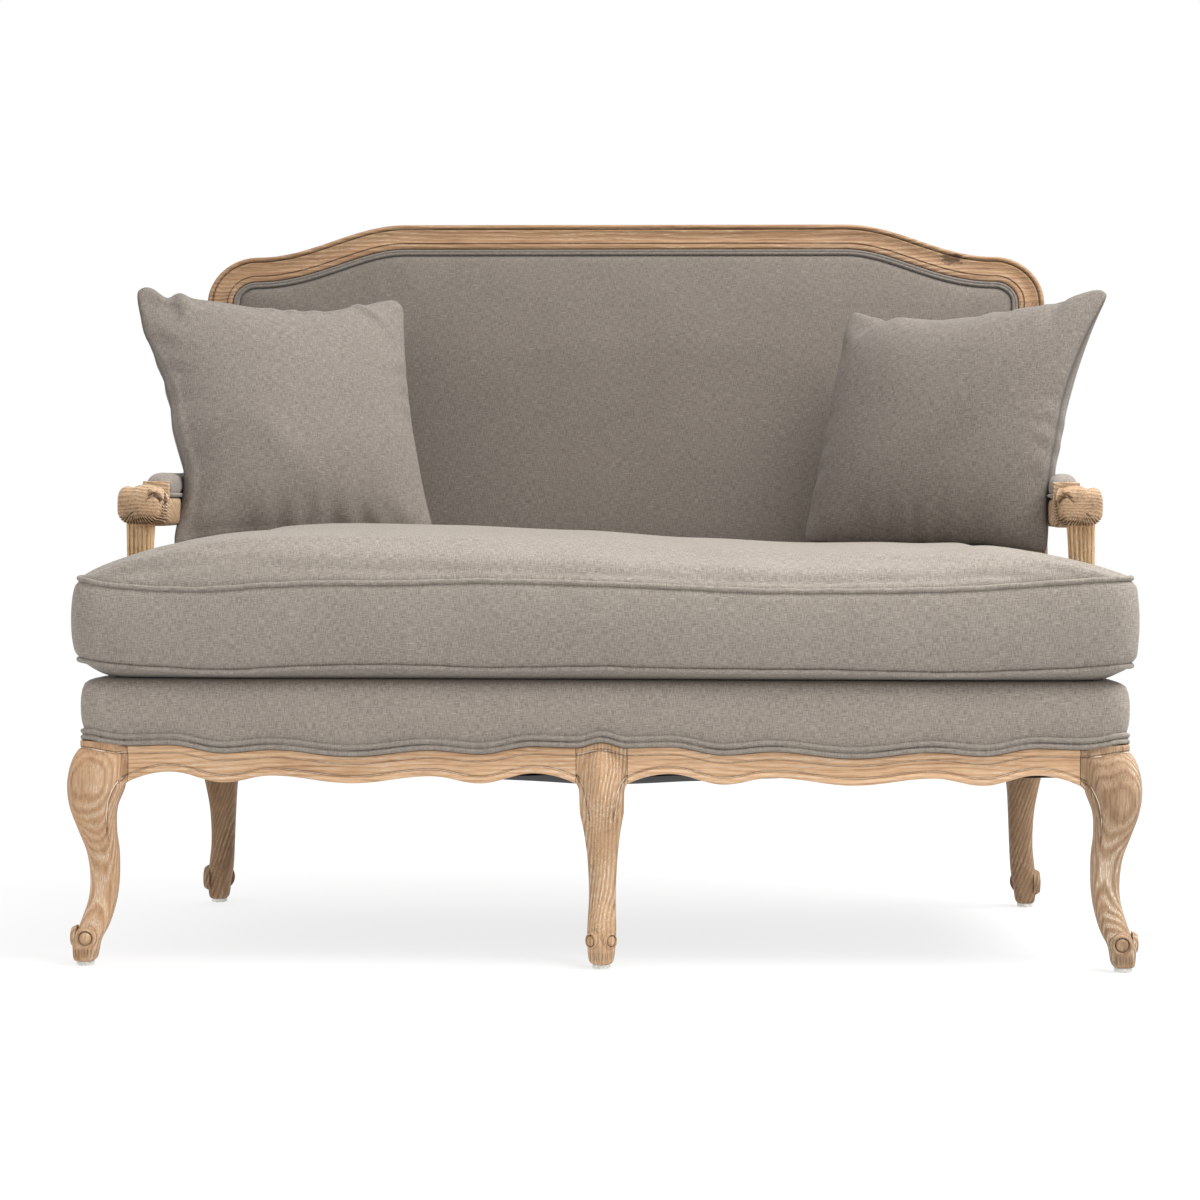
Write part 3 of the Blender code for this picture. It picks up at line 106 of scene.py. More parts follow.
# Outward place, height above the lower line, paste left in it
bead_shares = (
    (-0.0044, 0.0114, 0.0),
    (-0.0047, 0.0098, 0.3),
    (-0.0045, 0.0090, 0.9),
    (-0.0014, 0.0082, 0.2),
    (-0.0002, 0.0066, 0.0),
    (0.0001, 0.0048, 0.0),
    (-0.0004, 0.0026, 0.0),
    (-0.0018, 0.0008, 0.1),
    (-0.0040, 0.0000, 0.0),
)


def rail_profile(bottom, top, thickness):
    """Section of a moulded rail: outward place, height, paste."""
    section = [(-thickness, rail_top, 0), (-0.006, rail_top, 0)]
    section += [(out, top - down, paste) for out, down, paste in fillet_shares]
    high = top - 0.0124
    low = bottom + 0.0126
    for k in range(7):
        part = k / 6
        hollow = 0.0012 * math.sin(math.pi * part)
        section.append((-0.0032 - 0.0008 * part - hollow, high + (low - high) * part, 0))
    section += [(out, bottom + up, paste) for out, up, paste in bead_shares]
    section += [(-thickness + 0.002, bottom, 0), (-thickness, bottom + 0.002, 0)]
    return section


def laid(name, rows, marks=None, closed=True, capped=True):
    """A grid primitive laid over rows of points, sewn to a tube and closed at its ends."""
    rows = np.asarray(rows, float)
    if closed:
        rows = np.concatenate([rows, rows[:, :1]], axis=1)
    bpy.ops.object.select_all(action="DESELECT")
    bpy.ops.mesh.primitive_grid_add(
        x_subdivisions=rows.shape[1] - 1, y_subdivisions=rows.shape[0] - 1, size=1
    )
    piece = bpy.context.object
    piece.name = name
    piece.data.name = name
    piece.data.vertices.foreach_set("co", rows.reshape(-1))
    if marks is not None:
        marks = np.asarray(marks, float)
        if closed:
            marks = np.concatenate([marks, marks[:, :1]], axis=1)
        paste = piece.data.attributes.new("paste", "FLOAT", "POINT")
        paste.data.foreach_set("value", marks.reshape(-1))
    bpy.ops.object.mode_set(mode="EDIT")
    bpy.ops.mesh.select_all(action="SELECT")
    bpy.ops.mesh.remove_doubles(threshold=0.000005)
    if capped:
        bpy.ops.mesh.fill_holes(sides=0)
    bpy.ops.mesh.select_all(action="SELECT")
    bpy.ops.mesh.normals_make_consistent(inside=False)
    bpy.ops.object.mode_set(mode="OBJECT")
    return piece


def other_side(piece, name):
    """The like piece for the left-hand side, with its own mesh."""
    twin = piece.copy()
    twin.data = piece.data.copy()
    twin.name = name
    twin.data.name = name
    bpy.context.scene.collection.objects.link(twin)
    twin.data.transform(Matrix.Scale(-1, 4, (1, 0, 0)))
    twin.data.flip_normals()
    return twin


def alone(piece):
    """Selects one piece only."""
    bpy.ops.object.select_all(action="DESELECT")
    piece.select_set(True)
    bpy.context.view_layer.objects.active = piece


def put_in(piece, body, slot, *stands_for, crease=35):
    """Smooths a finished piece, gives it its body and hides the nodes it stands for; its slot is not used."""
    alone(piece)
    bpy.ops.object.shade_smooth_by_angle(angle=math.radians(crease))
    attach(piece, body)
    if stands_for:
        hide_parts(*stands_for)


def put_in_pair(piece, slot, node, crease=35):
    """Puts in a right-hand piece of the frame, and its twin for the left-hand side."""
    twin = other_side(piece, piece.name.replace("right", "left"))
    put_in(piece, "frame", slot, node + "_right", crease=crease)
    put_in(twin, "frame", slot, node + "_left", crease=crease)
    return twin


def paint(red, green, blue):
    """A colour as it is read off a screen, made linear for a shader."""
    linear = []
    for value in (red, green, blue):
        value /= 255
        linear.append(value / 12.92 if value <= 0.04045 else ((value + 0.055) / 1.055) ** 2.4)
    return (*linear, 1.0)


def group_named(name, inputs, outputs):
    """An empty shader group with its named sockets."""
    group = bpy.data.node_groups.new(name, "ShaderNodeTree")
    for label, kind in inputs:
        group.interface.new_socket(label, in_out="INPUT", socket_type=kind)
    for label, kind in outputs:
        group.interface.new_socket(label, in_out="OUTPUT", socket_type=kind)
    return group, group.nodes.new("NodeGroupInput"), group.nodes.new("NodeGroupOutput")


def feed(tree, value, socket):
    """Links an output to a socket, or sets the socket to a number or a colour."""
    if isinstance(value, bpy.types.NodeSocket):
        tree.links.new(value, socket)
    elif value is not None:
        socket.default_value = value


def sums(tree, operation, first, second=0.0, third=None):
    """A Math node on sockets or numbers."""
    node = tree.nodes.new("ShaderNodeMath")
    node.operation = operation
    for socket, value in zip(node.inputs, (first, second, third)):
        feed(tree, value, socket)
    return node.outputs[0]


def stretched(tree, vector, scale, detail=2.0, rough=0.5, offset=(0, 0, 0)):
    """Noise stretched along the axes of a position in metres."""
    mapping = tree.nodes.new("ShaderNodeMapping")
    mapping.inputs["Scale"].default_value = scale
    mapping.inputs["Location"].default_value = offset
    tree.links.new(vector, mapping.inputs["Vector"])
    noise = tree.nodes.new("ShaderNodeTexNoise")
    noise.inputs["Scale"].default_value = 1.0
    noise.inputs["Detail"].default_value = detail
    noise.inputs["Roughness"].default_value = rough
    tree.links.new(mapping.outputs[0], noise.inputs["Vector"])
    return noise.outputs["Fac"]


def between(tree, value, low, high, to_low=0.0, to_high=1.0):
    """A value spread from one range to another, and kept inside it."""
    node = tree.nodes.new("ShaderNodeMapRange")
    node.interpolation_type = "SMOOTHSTEP"
    for label, number in zip(("From Min", "From Max", "To Min", "To Max"), (low, high, to_low, to_high)):
        node.inputs[label].default_value = number
    tree.links.new(value, node.inputs["Value"])
    return node.outputs["Result"]


def blended(tree, share, first, second):
    """Two colours mixed by a share."""
    node = tree.nodes.new("ShaderNodeMix")
    node.data_type = "RGBA"
    tree.links.new(share, node.inputs["Factor"])
    feed(tree, first, node.inputs[6])
    feed(tree, second, node.inputs[7])
    return node.outputs[2]


def limed_oak_group():
    """Oak with growth rings across Z and fibres along X, its pores filled with white paste."""
    inputs = [
        ("Position", "NodeSocketVector"),
        ("Ground", "NodeSocketColor"),
        ("Vein", "NodeSocketColor"),
        ("Paste", "NodeSocketColor"),
        ("Groove Shade", "NodeSocketColor"),
        ("Liming", "NodeSocketFloat"),
        ("Groove", "NodeSocketFloat"),
        ("Ring Pitch", "NodeSocketFloat"),
    ]
    outputs = [
        ("Colour", "NodeSocketColor"),
        ("Roughness", "NodeSocketFloat"),
        ("Height", "NodeSocketFloat"),
    ]
    group, given, result = group_named("limed_oak", inputs, outputs)
    place = given.outputs["Position"]
    split = group.nodes.new("ShaderNodeSeparateXYZ")
    group.links.new(place, split.inputs[0])
    waver = sums(group, "SUBTRACT", stretched(group, place, (5, 13, 13), 2.0), 0.5)
    ripple = sums(group, "SUBTRACT", stretched(group, place, (45, 190, 190), 2.0), 0.5)
    across = sums(group, "MULTIPLY_ADD", waver, 0.030, split.outputs[2])
    across = sums(group, "MULTIPLY_ADD", ripple, 0.0022, across)
    turns = sums(group, "DIVIDE", across, given.outputs["Ring Pitch"])
    ring = sums(group, "SINE", sums(group, "MULTIPLY", turns, 2 * math.pi))
    early = between(group, ring, -0.25, 0.80)
    late = between(group, ring, -0.35, -0.95)
    fibre = stretched(group, place, (36, 820, 820), 3.0, 0.65)
    strand = stretched(group, place, (15, 330, 330), 2.0, 0.6, (4, 2, 9))
    pore = between(group, stretched(group, place, (70, 1300, 1300), 1.0), 0.50, 0.64)
    patch = between(group, stretched(group, place, (9, 22, 22), 2.0), 0.34, 0.66)
    broad = stretched(group, place, (4, 34, 34), 2.0)
    dark = sums(group, "MULTIPLY", between(group, fibre, 0.36, 0.66), 0.34)
    dark = sums(group, "MULTIPLY_ADD", late, 0.20, dark)
    dark = sums(group, "MULTIPLY_ADD", between(group, strand, 0.40, 0.68), 0.28, dark)
    dark = sums(group, "MULTIPLY_ADD", between(group, broad, 0.42, 0.66), 0.26, dark)
    colour = blended(group, dark, given.outputs["Ground"], given.outputs["Vein"])
    filled = sums(group, "MULTIPLY", pore, sums(group, "MULTIPLY_ADD", early, 0.80, 0.20))
    filled = sums(group, "MULTIPLY_ADD", early, 0.22, filled)
    filled = sums(group, "MULTIPLY", filled, given.outputs["Liming"])
    filled = sums(group, "MULTIPLY", filled, sums(group, "MULTIPLY_ADD", patch, 0.95, 0.15))
    # Painted shade darkens the wood beside the paste in every quirk, and the paste has crumbled out here and
    # there
    groove_shade = between(group, given.outputs["Groove"], 0.04, 0.30)
    groove_shade = sums(group, "MULTIPLY", groove_shade, between(group, given.outputs["Groove"], 0.85, 0.50))
    colour = blended(group, sums(group, "MULTIPLY", groove_shade, 0.62), colour, given.outputs["Groove Shade"])
    left = between(group, stretched(group, place, (38, 60, 60), 3.0, 0.6), 0.40, 0.56, 0.10, 1.0)
    crumbled = sums(group, "MULTIPLY", between(group, given.outputs["Groove"], 0.50, 0.85), left)
    white = sums(group, "MAXIMUM", filled, sums(group, "MULTIPLY", crumbled, 0.85))
    colour = blended(group, white, colour, given.outputs["Paste"])
    group.links.new(colour, result.inputs["Colour"])
    rough = sums(group, "MULTIPLY_ADD", white, 0.20, sums(group, "MULTIPLY_ADD", fibre, 0.20, 0.50))
    group.links.new(rough, result.inputs["Roughness"])
    height = sums(group, "MULTIPLY_ADD", pore, -0.5, sums(group, "MULTIPLY", fibre, 0.6))
    height = sums(group, "MULTIPLY_ADD", early, -0.45, height)
    group.links.new(height, result.inputs["Height"])
    return group


limed_oak = limed_oak_group()


def blank(name):
    """A new material with its tree and its shader."""
    made = bpy.data.materials.new(name)
    made.use_nodes = True
    return made, made.node_tree, made.node_tree.nodes["Principled BSDF"]


def on_object(tree):
    """Position on the object, in metres."""
    return tree.nodes.new("ShaderNodeTexCoord").outputs["Object"]


def along_fibres(tree, turn):
    """Position on the object, turned by degrees so that X runs with the fibres."""
    mapping = tree.nodes.new("ShaderNodeMapping")
    mapping.inputs["Rotation"].default_value = [math.radians(angle) for angle in turn]
    tree.links.new(on_object(tree), mapping.inputs["Vector"])
    return mapping.outputs[0]


def raised(tree, height, rise, strength=1.0):
    """Bump on the shader from a height, its full rise in metres."""
    bump = tree.nodes.new("ShaderNodeBump")
    bump.inputs["Strength"].default_value = strength
    bump.inputs["Distance"].default_value = rise
    tree.links.new(height, bump.inputs["Height"])
    tree.links.new(bump.outputs[0], tree.nodes["Principled BSDF"].inputs["Normal"])


def oak(name, ground, vein, paste, liming, pitch, turn):
    """Limed oak for one run of timber, turned so that its fibres follow the piece."""
    made, tree, shader = blank(name)
    grain = tree.nodes.new("ShaderNodeGroup")
    grain.node_tree = limed_oak
    tree.links.new(along_fibres(tree, turn), grain.inputs["Position"])
    # Colour of the painted shade in the quirks: the vein darkened
    groove_shade_colour = [value * 0.52 for value in vein]
    for label, colour in zip(("Ground", "Vein", "Paste", "Groove Shade"), (ground, vein, paste, groove_shade_colour)):
        grain.inputs[label].default_value = paint(*colour)
    grain.inputs["Liming"].default_value = liming
    grain.inputs["Ring Pitch"].default_value = pitch
    groove = tree.nodes.new("ShaderNodeAttribute")
    groove.attribute_name = "paste"
    tree.links.new(groove.outputs["Fac"], grain.inputs["Groove"])
    tree.links.new(grain.outputs["Colour"], shader.inputs["Base Color"])
    tree.links.new(grain.outputs["Roughness"], shader.inputs["Roughness"])
    raised(tree, grain.outputs["Height"], 0.0008, 0.50)
    shader.inputs["Specular IOR Level"].default_value = 0.28
    return made


oak_paste = (231, 216, 194)
rail_oak = oak("oak_rails", (226, 187, 148), (160, 120, 84), oak_paste, 0.50, 0.0062, (12, 0, 0))
side_oak = oak("oak_side_rails", (224, 185, 146), (158, 118, 82), oak_paste, 0.50, 0.0062, (12, 0, 90))


def swept(name, stations, thickness):
    """A moulded rail through stations: point, normal, lower and upper line."""
    rows = []
    marks = []
    for point, normal, bottom, top in stations:
        section = rail_profile(bottom, top, thickness)
        rows.append([(point[0] + normal[0] * out, point[1] + normal[1] * out, z) for out, z, _ in section])
        marks.append([paste for _, _, paste in section])
    return laid(name, rows, marks)


def rail_stations(low, high, along_front):
    """Evenly spaced stations of a rail between two places, drawn in by its joints."""
    middle = (low + high) / 2
    half = (high - low) / 2
    slope = (seat_half_rear - seat_half_front) / (seat_rear - seat_front)
    length = math.hypot(1, slope)
    stations = []
    for share in np.linspace(-1, 1, 141):
        place = middle + half * share * (1 - joint_gap / half)
        if along_front:
            stations.append(((place, seat_front), (0, -1), *scallop(share)))
        else:
            stations.append(((side_x(place), place), (1 / length, -slope / length), *scallop(share)))
    return stations


front_stations = rail_stations(centre_head_half, corner_head_start, True)
side_stations = rail_stations(side_head_end, side_rail_end, False)
rails = (("front_rail", front_stations, rail_oak), ("side_rail", side_stations, side_oak))
for kind, stations, timber in rails:
    rail = swept(f"{kind}_oak_right", stations, rail_thickness)
    rail.data.materials.append(timber)
    put_in_pair(rail, "limed_oak", kind)

# ---------------------------------------------------------------------------
# Front legs. Cabriole legs bandsawn and carved from solid oak, two set on the
# diagonal under the corners and a slimmer one in the middle. Each head takes up
# the rails' moulding, a carved line runs down the ears, and the toe is a scroll.

knee_height = 0.2885
knee_side = 0.0715
knee_proud = 0.0185
foot_side = 0.030
foot_proud = 0.0090
foot_clearance = 0.006
head_rise = 0.0068
ear_depth = 0.040
# Share of the head from its rail, how far the ear has dropped
ear_shares = ((0, 0), (0.04, 0.04), (0.08, 0.105), (0.12, 0.20), (0.16, 0.33), (0.21, 0.55), (0.26, 0.83))
ear_shares += ((0.30, 1), (1, 1))
# Height, how far it stands proud of the rails, width of its square, squareness
leg_shares = (
    (0.021, 0.38, 0.350, 4.0),
    (0.028, 0.45, 0.400, 4.0),
    (0.050, 0.50, 0.440, 4.0),
    (0.110, 0.52, 0.490, 3.6),
    (0.165, 0.22, 0.520, 3.0),
    (0.225, -0.08, 0.520, 2.6),
    (0.300, -0.38, 0.505, 2.5),
    (0.390, -0.44, 0.520, 2.5),
    (0.500, -0.22, 0.575, 2.6),
    (0.600, 0.30, 0.675, 2.8),
    (0.700, 0.80, 0.825, 3.0),
    (0.790, 1.00, 1.000, 3.2),
    (0.870, 0.88, 0.985, 3.2),
    (0.930, 0.58, 0.930, 3.4),
    (0.970, 0.20, 0.860, 3.4),
)
scroll_height = 0.036
quirk_width = 0.0013
cut_width = 0.0012
toe_flute_count = 26


def sprung(share, table, column):
    """A column of a table read along a smooth curve through its rows."""
    places = [row[0] for row in table]
    values = [row[column] for row in table]
    k = min(max(np.searchsorted(places, share) - 1, 0), len(table) - 2)
    span = places[k + 1] - places[k]
    part = min(max((share - places[k]) / span, 0), 1)
    slopes = []
    for i in (k, k + 1):
        before = max(i - 1, 0)
        after = min(i + 1, len(table) - 1)
        slopes.append((values[after] - values[before]) / (places[after] - places[before]) * span)
    square = part * part
    cube = square * part
    low = (2 * cube - 3 * square + 1) * values[k] + (cube - 2 * square + part) * slopes[0]
    return low + (3 * square - 2 * cube) * values[k + 1] + (cube - square) * slopes[1]


def rounded_square(half_x, half_y, squareness, count, turn=0.0):
    """Points round an oval between a circle and a square."""
    angle = np.linspace(0, 2 * np.pi, count, endpoint=False)
    c, s = np.cos(angle), np.sin(angle)
    reach = (np.abs(c) ** squareness + np.abs(s) ** squareness) ** (-1 / squareness)
    x, y = half_x * reach * c, half_y * reach * s
    across = x * math.cos(turn) - y * math.sin(turn)
    return np.stack([across, x * math.sin(turn) + y * math.cos(turn)], axis=1)


def leg_middle(share, foot, toe_angle, girth, sway, side_limit):
    """Middle and width of a leg's section at a share of the knee's height."""
    side = min(knee_side * sprung(share, leg_shares, 2) * girth, side_limit)
    shift = knee_proud * sprung(share, leg_shares, 1) - side / 2 - (foot_proud - foot_side / 2)
    reach = shift * math.sqrt(2) * sway
    return foot[0] + math.cos(toe_angle) * reach, foot[1] + math.sin(toe_angle) * reach, side


def leg_rows(foot, toe_angle, girth, sway, side_limit, top_share, top=None):
    """Rings of a cabriole leg from its foot up."""
    rows = []
    for share in np.linspace(leg_shares[0][0], top_share, 110):
        x, y, side = leg_middle(share, foot, toe_angle, girth, sway, side_limit)
        squareness = sprung(share, leg_shares, 3)
        ring = rounded_square(side / 2, side / 2, squareness, 72, toe_angle + math.pi / 4)
        height = max(foot_clearance, knee_height * share)
        rows.append([(x + a, y + b, height) for a, b in ring])
    if top:
        rows.append([(x, y, top) for x, y, _ in rows[-1]])
    return rows


def fused(name, pieces):
    """Joins pieces in one mesh."""
    bpy.ops.object.select_all(action="DESELECT")
    for piece in pieces:
        piece.select_set(True)
    bpy.context.view_layer.objects.active = pieces[0]
    bpy.ops.object.join()
    pieces[0].name = name
    pieces[0].data.name = name
    return pieces[0]


def points_of(piece):
    """Places and normals of a mesh as arrays."""
    count = len(piece.data.vertices)
    places = np.empty(count * 3)
    normals = np.empty(count * 3)
    piece.data.vertices.foreach_get("co", places)
    piece.data.vertices.foreach_get("normal", normals)
    return places.reshape(-1, 3), normals.reshape(-1, 3)


def worked(piece, kind, **settings):
    """Gives a piece a modifier and applies it."""
    alone(piece)
    modifier = piece.modifiers.new(kind.lower(), kind)
    for label, value in settings.items():
        setattr(modifier, label, value)
    bpy.ops.object.modifier_apply(modifier=modifier.name)


def box(middle, size):
    """A plain block of a size, at a place."""
    bpy.ops.object.select_all(action="DESELECT")
    bpy.ops.mesh.primitive_cube_add(size=1, location=middle)
    block = bpy.context.object
    block.scale = size
    bpy.ops.object.transform_apply(location=True, rotation=True, scale=True)
    return block


# Heights between which a leg's throat is gouged round
throat_low = 0.160
throat_high = 0.236


def carved_leg(name, bodies):
    """Runs joined forms into one carved leg, as a rasp and scraper would, and rounds out its throat."""
    leg = fused(name, bodies)
    worked(leg, "REMESH", mode="VOXEL", voxel_size=0.0013)
    worked(leg, "SMOOTH", factor=0.5, iterations=2)
    places, _ = points_of(leg)
    share = np.clip(np.minimum(places[:, 2] - throat_low, throat_high - places[:, 2]) / 0.014, 0, 1)
    gouged = leg.vertex_groups.new(name="throat")
    for index in np.nonzero(share)[0]:
        gouged.add([int(index)], float(share[index]), "REPLACE")
    worked(leg, "SMOOTH", factor=0.5, iterations=45, vertex_group="throat")
    leg.vertex_groups.clear()
    return leg


def cut_in(piece, places, normals, depth, paste):
    """Moves points along their normals and marks where the paste stays."""
    piece.data.vertices.foreach_set("co", (places - normals * depth[:, None]).reshape(-1))
    mark = piece.data.attributes.get("paste") or piece.data.attributes.new("paste", "FLOAT", "POINT")
    mark.data.foreach_set("value", np.clip(paste, 0, 1))
    piece.data.update()


def bell(away, width):
    """One where a distance is nothing, falling off within a width."""
    return np.exp(-((away / width) ** 2))


def off_line(across, up, line):
    """Distance of points from a drawn line, both in one plane."""
    nearest = np.full(len(across), 1.0)
    for (x0, z0), (x1, z1) in zip(line, line[1:]):
        run = np.array([x1 - x0, z1 - z0])
        part = np.clip(((across - x0) * run[0] + (up - z0) * run[1]) / (run @ run), 0, 1)
        nearest = np.minimum(nearest, np.hypot(across - x0 - run[0] * part, up - z0 - run[1] * part))
    return nearest


def head_lines(share):
    """Lower and upper line of a leg's head at a share from its rail to its middle."""
    bottom, top = scallop(1)
    top += head_rise * (1 - math.cos(math.pi * share)) / 2
    drop = np.interp(share, [row[0] for row in ear_shares], [row[1] for row in ear_shares])
    return bottom - ear_depth * drop, top


def corner_head_stations():
    """The head of the right front leg, round the corner of the seat."""
    radius = 0.024
    stations = []
    arc_start = (corner_head - radius) / corner_head
    for share in np.linspace(0, arc_start, 24):
        point = (corner_head_start + corner_head * share, seat_front)
        stations.append((point, (0, -1), *head_lines(share)))
    middle = (side_x(seat_front + radius) - radius, seat_front + radius)
    for part in np.linspace(0, 1, 17)[1:-1]:
        angle = math.pi / 2 * part
        normal = (math.sin(angle), -math.cos(angle))
        share = arc_start + (1 - arc_start) * math.sin(math.pi * part)
        point = (middle[0] + normal[0] * radius, middle[1] + normal[1] * radius)
        stations.append((point, normal, *head_lines(share)))
    for share in np.linspace(arc_start, 0, 24):
        y = side_head_end - corner_head * share
        stations.append(((side_x(y), y), (1, 0), *head_lines(share)))
    return stations


def scroll_disc(name, centre, facing, radius, boss):
    """A turned scroll: a rim, a quirk full of paste and a low button."""
    # Place from the middle, rise of the turned face, paste left in it
    profile = (
        (1.22, -0.60, 0.0),
        (1.14, -0.05, 0.2),
        (1.06, 0.32, 0.0),
        (0.98, 0.64, 0.0),
        (0.90, 0.80, 0.0),
        (0.83, 0.80, 0.0),
        (0.77, 0.56, 0.1),
        (0.73, 0.06, 0.5),
        (0.69, 0.06, 0.9),
        (0.64, 0.56, 0.1),
        (0.56, 0.84, 0.0),
        (0.38, 0.96, 0.0),
        (0.18, 1.00, 0.0),
        (0.02, 1.00, 0.0),
    )
    rows = []
    marks = []
    for reach, out, paste in profile:
        angles = np.linspace(0, 2 * np.pi, 48, endpoint=False)
        size = radius * reach
        rows.append([(size * math.cos(a), size * math.sin(a), boss * out) for a in angles])
        marks.append([paste] * len(angles))
    disc = laid(name, rows, marks)
    turn = Matrix.Rotation(facing, 4, "Z") @ Matrix.Rotation(math.pi / 2, 4, "Y")
    disc.data.transform(Matrix.Translation(centre) @ turn)
    return disc


def scroll_pair(foot, toe_angle, girth, sway, radius, boss=0.0050):
    """The two scrolls on the faces beside the toe."""
    x, y, side = leg_middle(scroll_height / knee_height, foot, toe_angle, girth, sway, knee_side)
    discs = []
    for hand in (-1, 1):
        facing = toe_angle + hand * math.pi / 4
        centre = (x + math.cos(facing) * side / 2, y + math.sin(facing) * side / 2, scroll_height)
        discs.append(scroll_disc("scroll", centre, facing, radius, boss))
    return discs


def toe_flutes(places, normals, foot, height=0.024):
    """Fine upright flutes cut round the block under the scrolls."""
    angle = np.arctan2(places[:, 1] - foot[1], places[:, 0] - foot[0])
    z = places[:, 2]
    low = np.clip((height - z) / 0.004, 0, 1) * np.clip((z - 0.008) / 0.004, 0, 1)
    return low * np.abs(normals[:, 2] < 0.5) * (0.5 + 0.5 * np.cos(angle * toe_flute_count))


corner_foot = (0.665, -0.364)
corner_toe = -math.pi / 4
leg_body = laid("leg", leg_rows(corner_foot, corner_toe, 1.0, 1.0, knee_side, 1.0))
head_body = swept("head", corner_head_stations(), 0.012)
block_low = (corner_head_start + joint_gap, seat_front + 0.0115, scallop(1)[0] + bead_height)
block_high = (seat_half_front - 0.0125, side_head_end - joint_gap, rail_top)
block_middle = [(a + b) / 2 for a, b in zip(block_low, block_high)]
block = box(block_middle, [b - a for a, b in zip(block_low, block_high)])
corner_leg = carved_leg("front_leg_oak_right", [leg_body, head_body, block])

# Line cut down the ear of the head and the edge of the leg: distance in from the side, height
ear_line = (
    (0.0685, 0.2466),
    (0.0610, 0.2450),
    (0.0543, 0.2411),
    (0.0480, 0.2335),
    (0.0435, 0.2245),
    (0.0390, 0.2129),
    (0.0360, 0.1950),
    (0.0352, 0.1750),
    (0.0362, 0.1580),
)


def cut_leg(piece, places, normals, quirk, line, foot):
    """Cuts a leg's quirk, its carved line and the flutes of its toe, and leaves paste in them."""
    flutes = toe_flutes(places, normals, foot)
    depth = 0.0018 * quirk + 0.0016 * line + 0.0007 * flutes
    cut_in(piece, places, normals, depth, quirk * 0.9 + line * 0.95 + flutes * 0.25)


def carve_corner(piece):
    """The quirk under the fillet and the line down both ears of a corner leg."""
    places, normals = points_of(piece)
    x, y, z = places.T
    share = np.clip(np.minimum(x - corner_head_start, side_head_end - y) / corner_head, 0, 1)
    quirk = scallop(1)[1] + head_rise * (1 - np.cos(np.pi * share)) / 2 - fillet_height
    outside = (normals[:, 0] > 0.2) | (normals[:, 1] < -0.2)
    near_quirk = bell(z - quirk, quirk_width) * outside
    line = np.zeros(len(x))
    sides = ((seat_half_front - x, normals[:, 1] < -0.35), (y - seat_front, normals[:, 0] > 0.35))
    for across, faces in sides:
        fade = np.clip((z - 0.150) / 0.045, 0, 1)
        line = np.maximum(line, bell(off_line(across, z, ear_line), cut_width) * faces * fade)
    cut_leg(piece, places, normals, near_quirk, line, corner_foot)


carve_corner(corner_leg)
discs = scroll_pair(corner_foot, corner_toe, 1.0, 1.0, 0.0122)
corner_leg = fused("front_leg_oak_right", [corner_leg] + discs)
leg_oak = oak("oak_leg_right", (177, 145, 114), (116, 88, 64), oak_paste, 0.85, 0.0052, (84, 0, 90))
left_leg_oak = oak("oak_leg_left", (196, 158, 122), (138, 102, 70), oak_paste, 0.55, 0.0052, (95, 0, 90))
corner_leg.data.materials.append(leg_oak)
left_leg = put_in_pair(corner_leg, "limed_oak", "front_leg", 50)
left_leg.data.materials[0] = left_leg_oak

centre_foot = (0.0, -0.364)
centre_toe = -math.pi / 2
centre_girth = 0.90
centre_limit = 0.0515
leg_body = laid("leg", leg_rows(centre_foot, centre_toe, centre_girth, 1.0, centre_limit, 1.0))
stations = []
for place in np.linspace(-1, 1, 61):
    stations.append(((place * centre_head_half, seat_front), (0, -1), *head_lines(1 - abs(place))))
head_body = swept("head", stations, rail_thickness)
centre_leg = carved_leg("front_leg_oak_centre", [leg_body, head_body])
centre_line = ((0.0340, 0.2472), (0.0300, 0.2440), (0.0250, 0.2350), (0.0217, 0.2270), (0.0180, 0.2120))
centre_line += ((0.0152, 0.1900),)
places, normals = points_of(centre_leg)
x, y, z = places.T
share = 1 - np.clip(np.abs(x) / centre_head_half, 0, 1)
quirk = scallop(1)[1] + head_rise * (1 - np.cos(np.pi * share)) / 2 - fillet_height
in_front = normals[:, 1] < -0.2
fade = np.clip((z - 0.180) / 0.030, 0, 1)
line = bell(off_line(np.abs(x), z, centre_line), cut_width) * in_front * fade
cut_leg(centre_leg, places, normals, bell(z - quirk, quirk_width) * in_front, line, centre_foot)
discs = scroll_pair(centre_foot, centre_toe, centre_girth, 1.0, 0.0100)
centre_leg = fused("front_leg_oak_centre", [centre_leg] + discs)
centre_oak = oak("oak_leg_centre", (200, 162, 124), (138, 102, 70), oak_paste, 0.70, 0.0046, (0, 86, 0))
centre_leg.data.materials.append(centre_oak)
put_in(centre_leg, "frame", "limed_oak", "front_leg_centre", crease=50)

# ---------------------------------------------------------------------------
# Back frame. Each rear leg and stile is cut from one length of oak; the crest
# rail between them is one moulded piece from shoulder to shoulder. The face has
# a bead on its outer edge, a hollow, and a thin inner fillet along the cloth.

back_lean = math.radians(12)
back_foot_y = 0.210
back_half = 0.636
back_height = 0.691
crest_flat_half = 0.335
crest_drop = 0.0515
crest_shoulder_x = 0.560
shoulder_rise = 0.072
frame_face = 0.0395
frame_depth = 0.034
rebate_width = 0.012
rebate_depth = 0.010
rear_margin = 0.028
rear_rebate = 0.006
rear_chamfer = 0.004
joint_height = back_height - crest_drop - shoulder_rise
stile_foot_half = 0.632
stile_root = -0.020
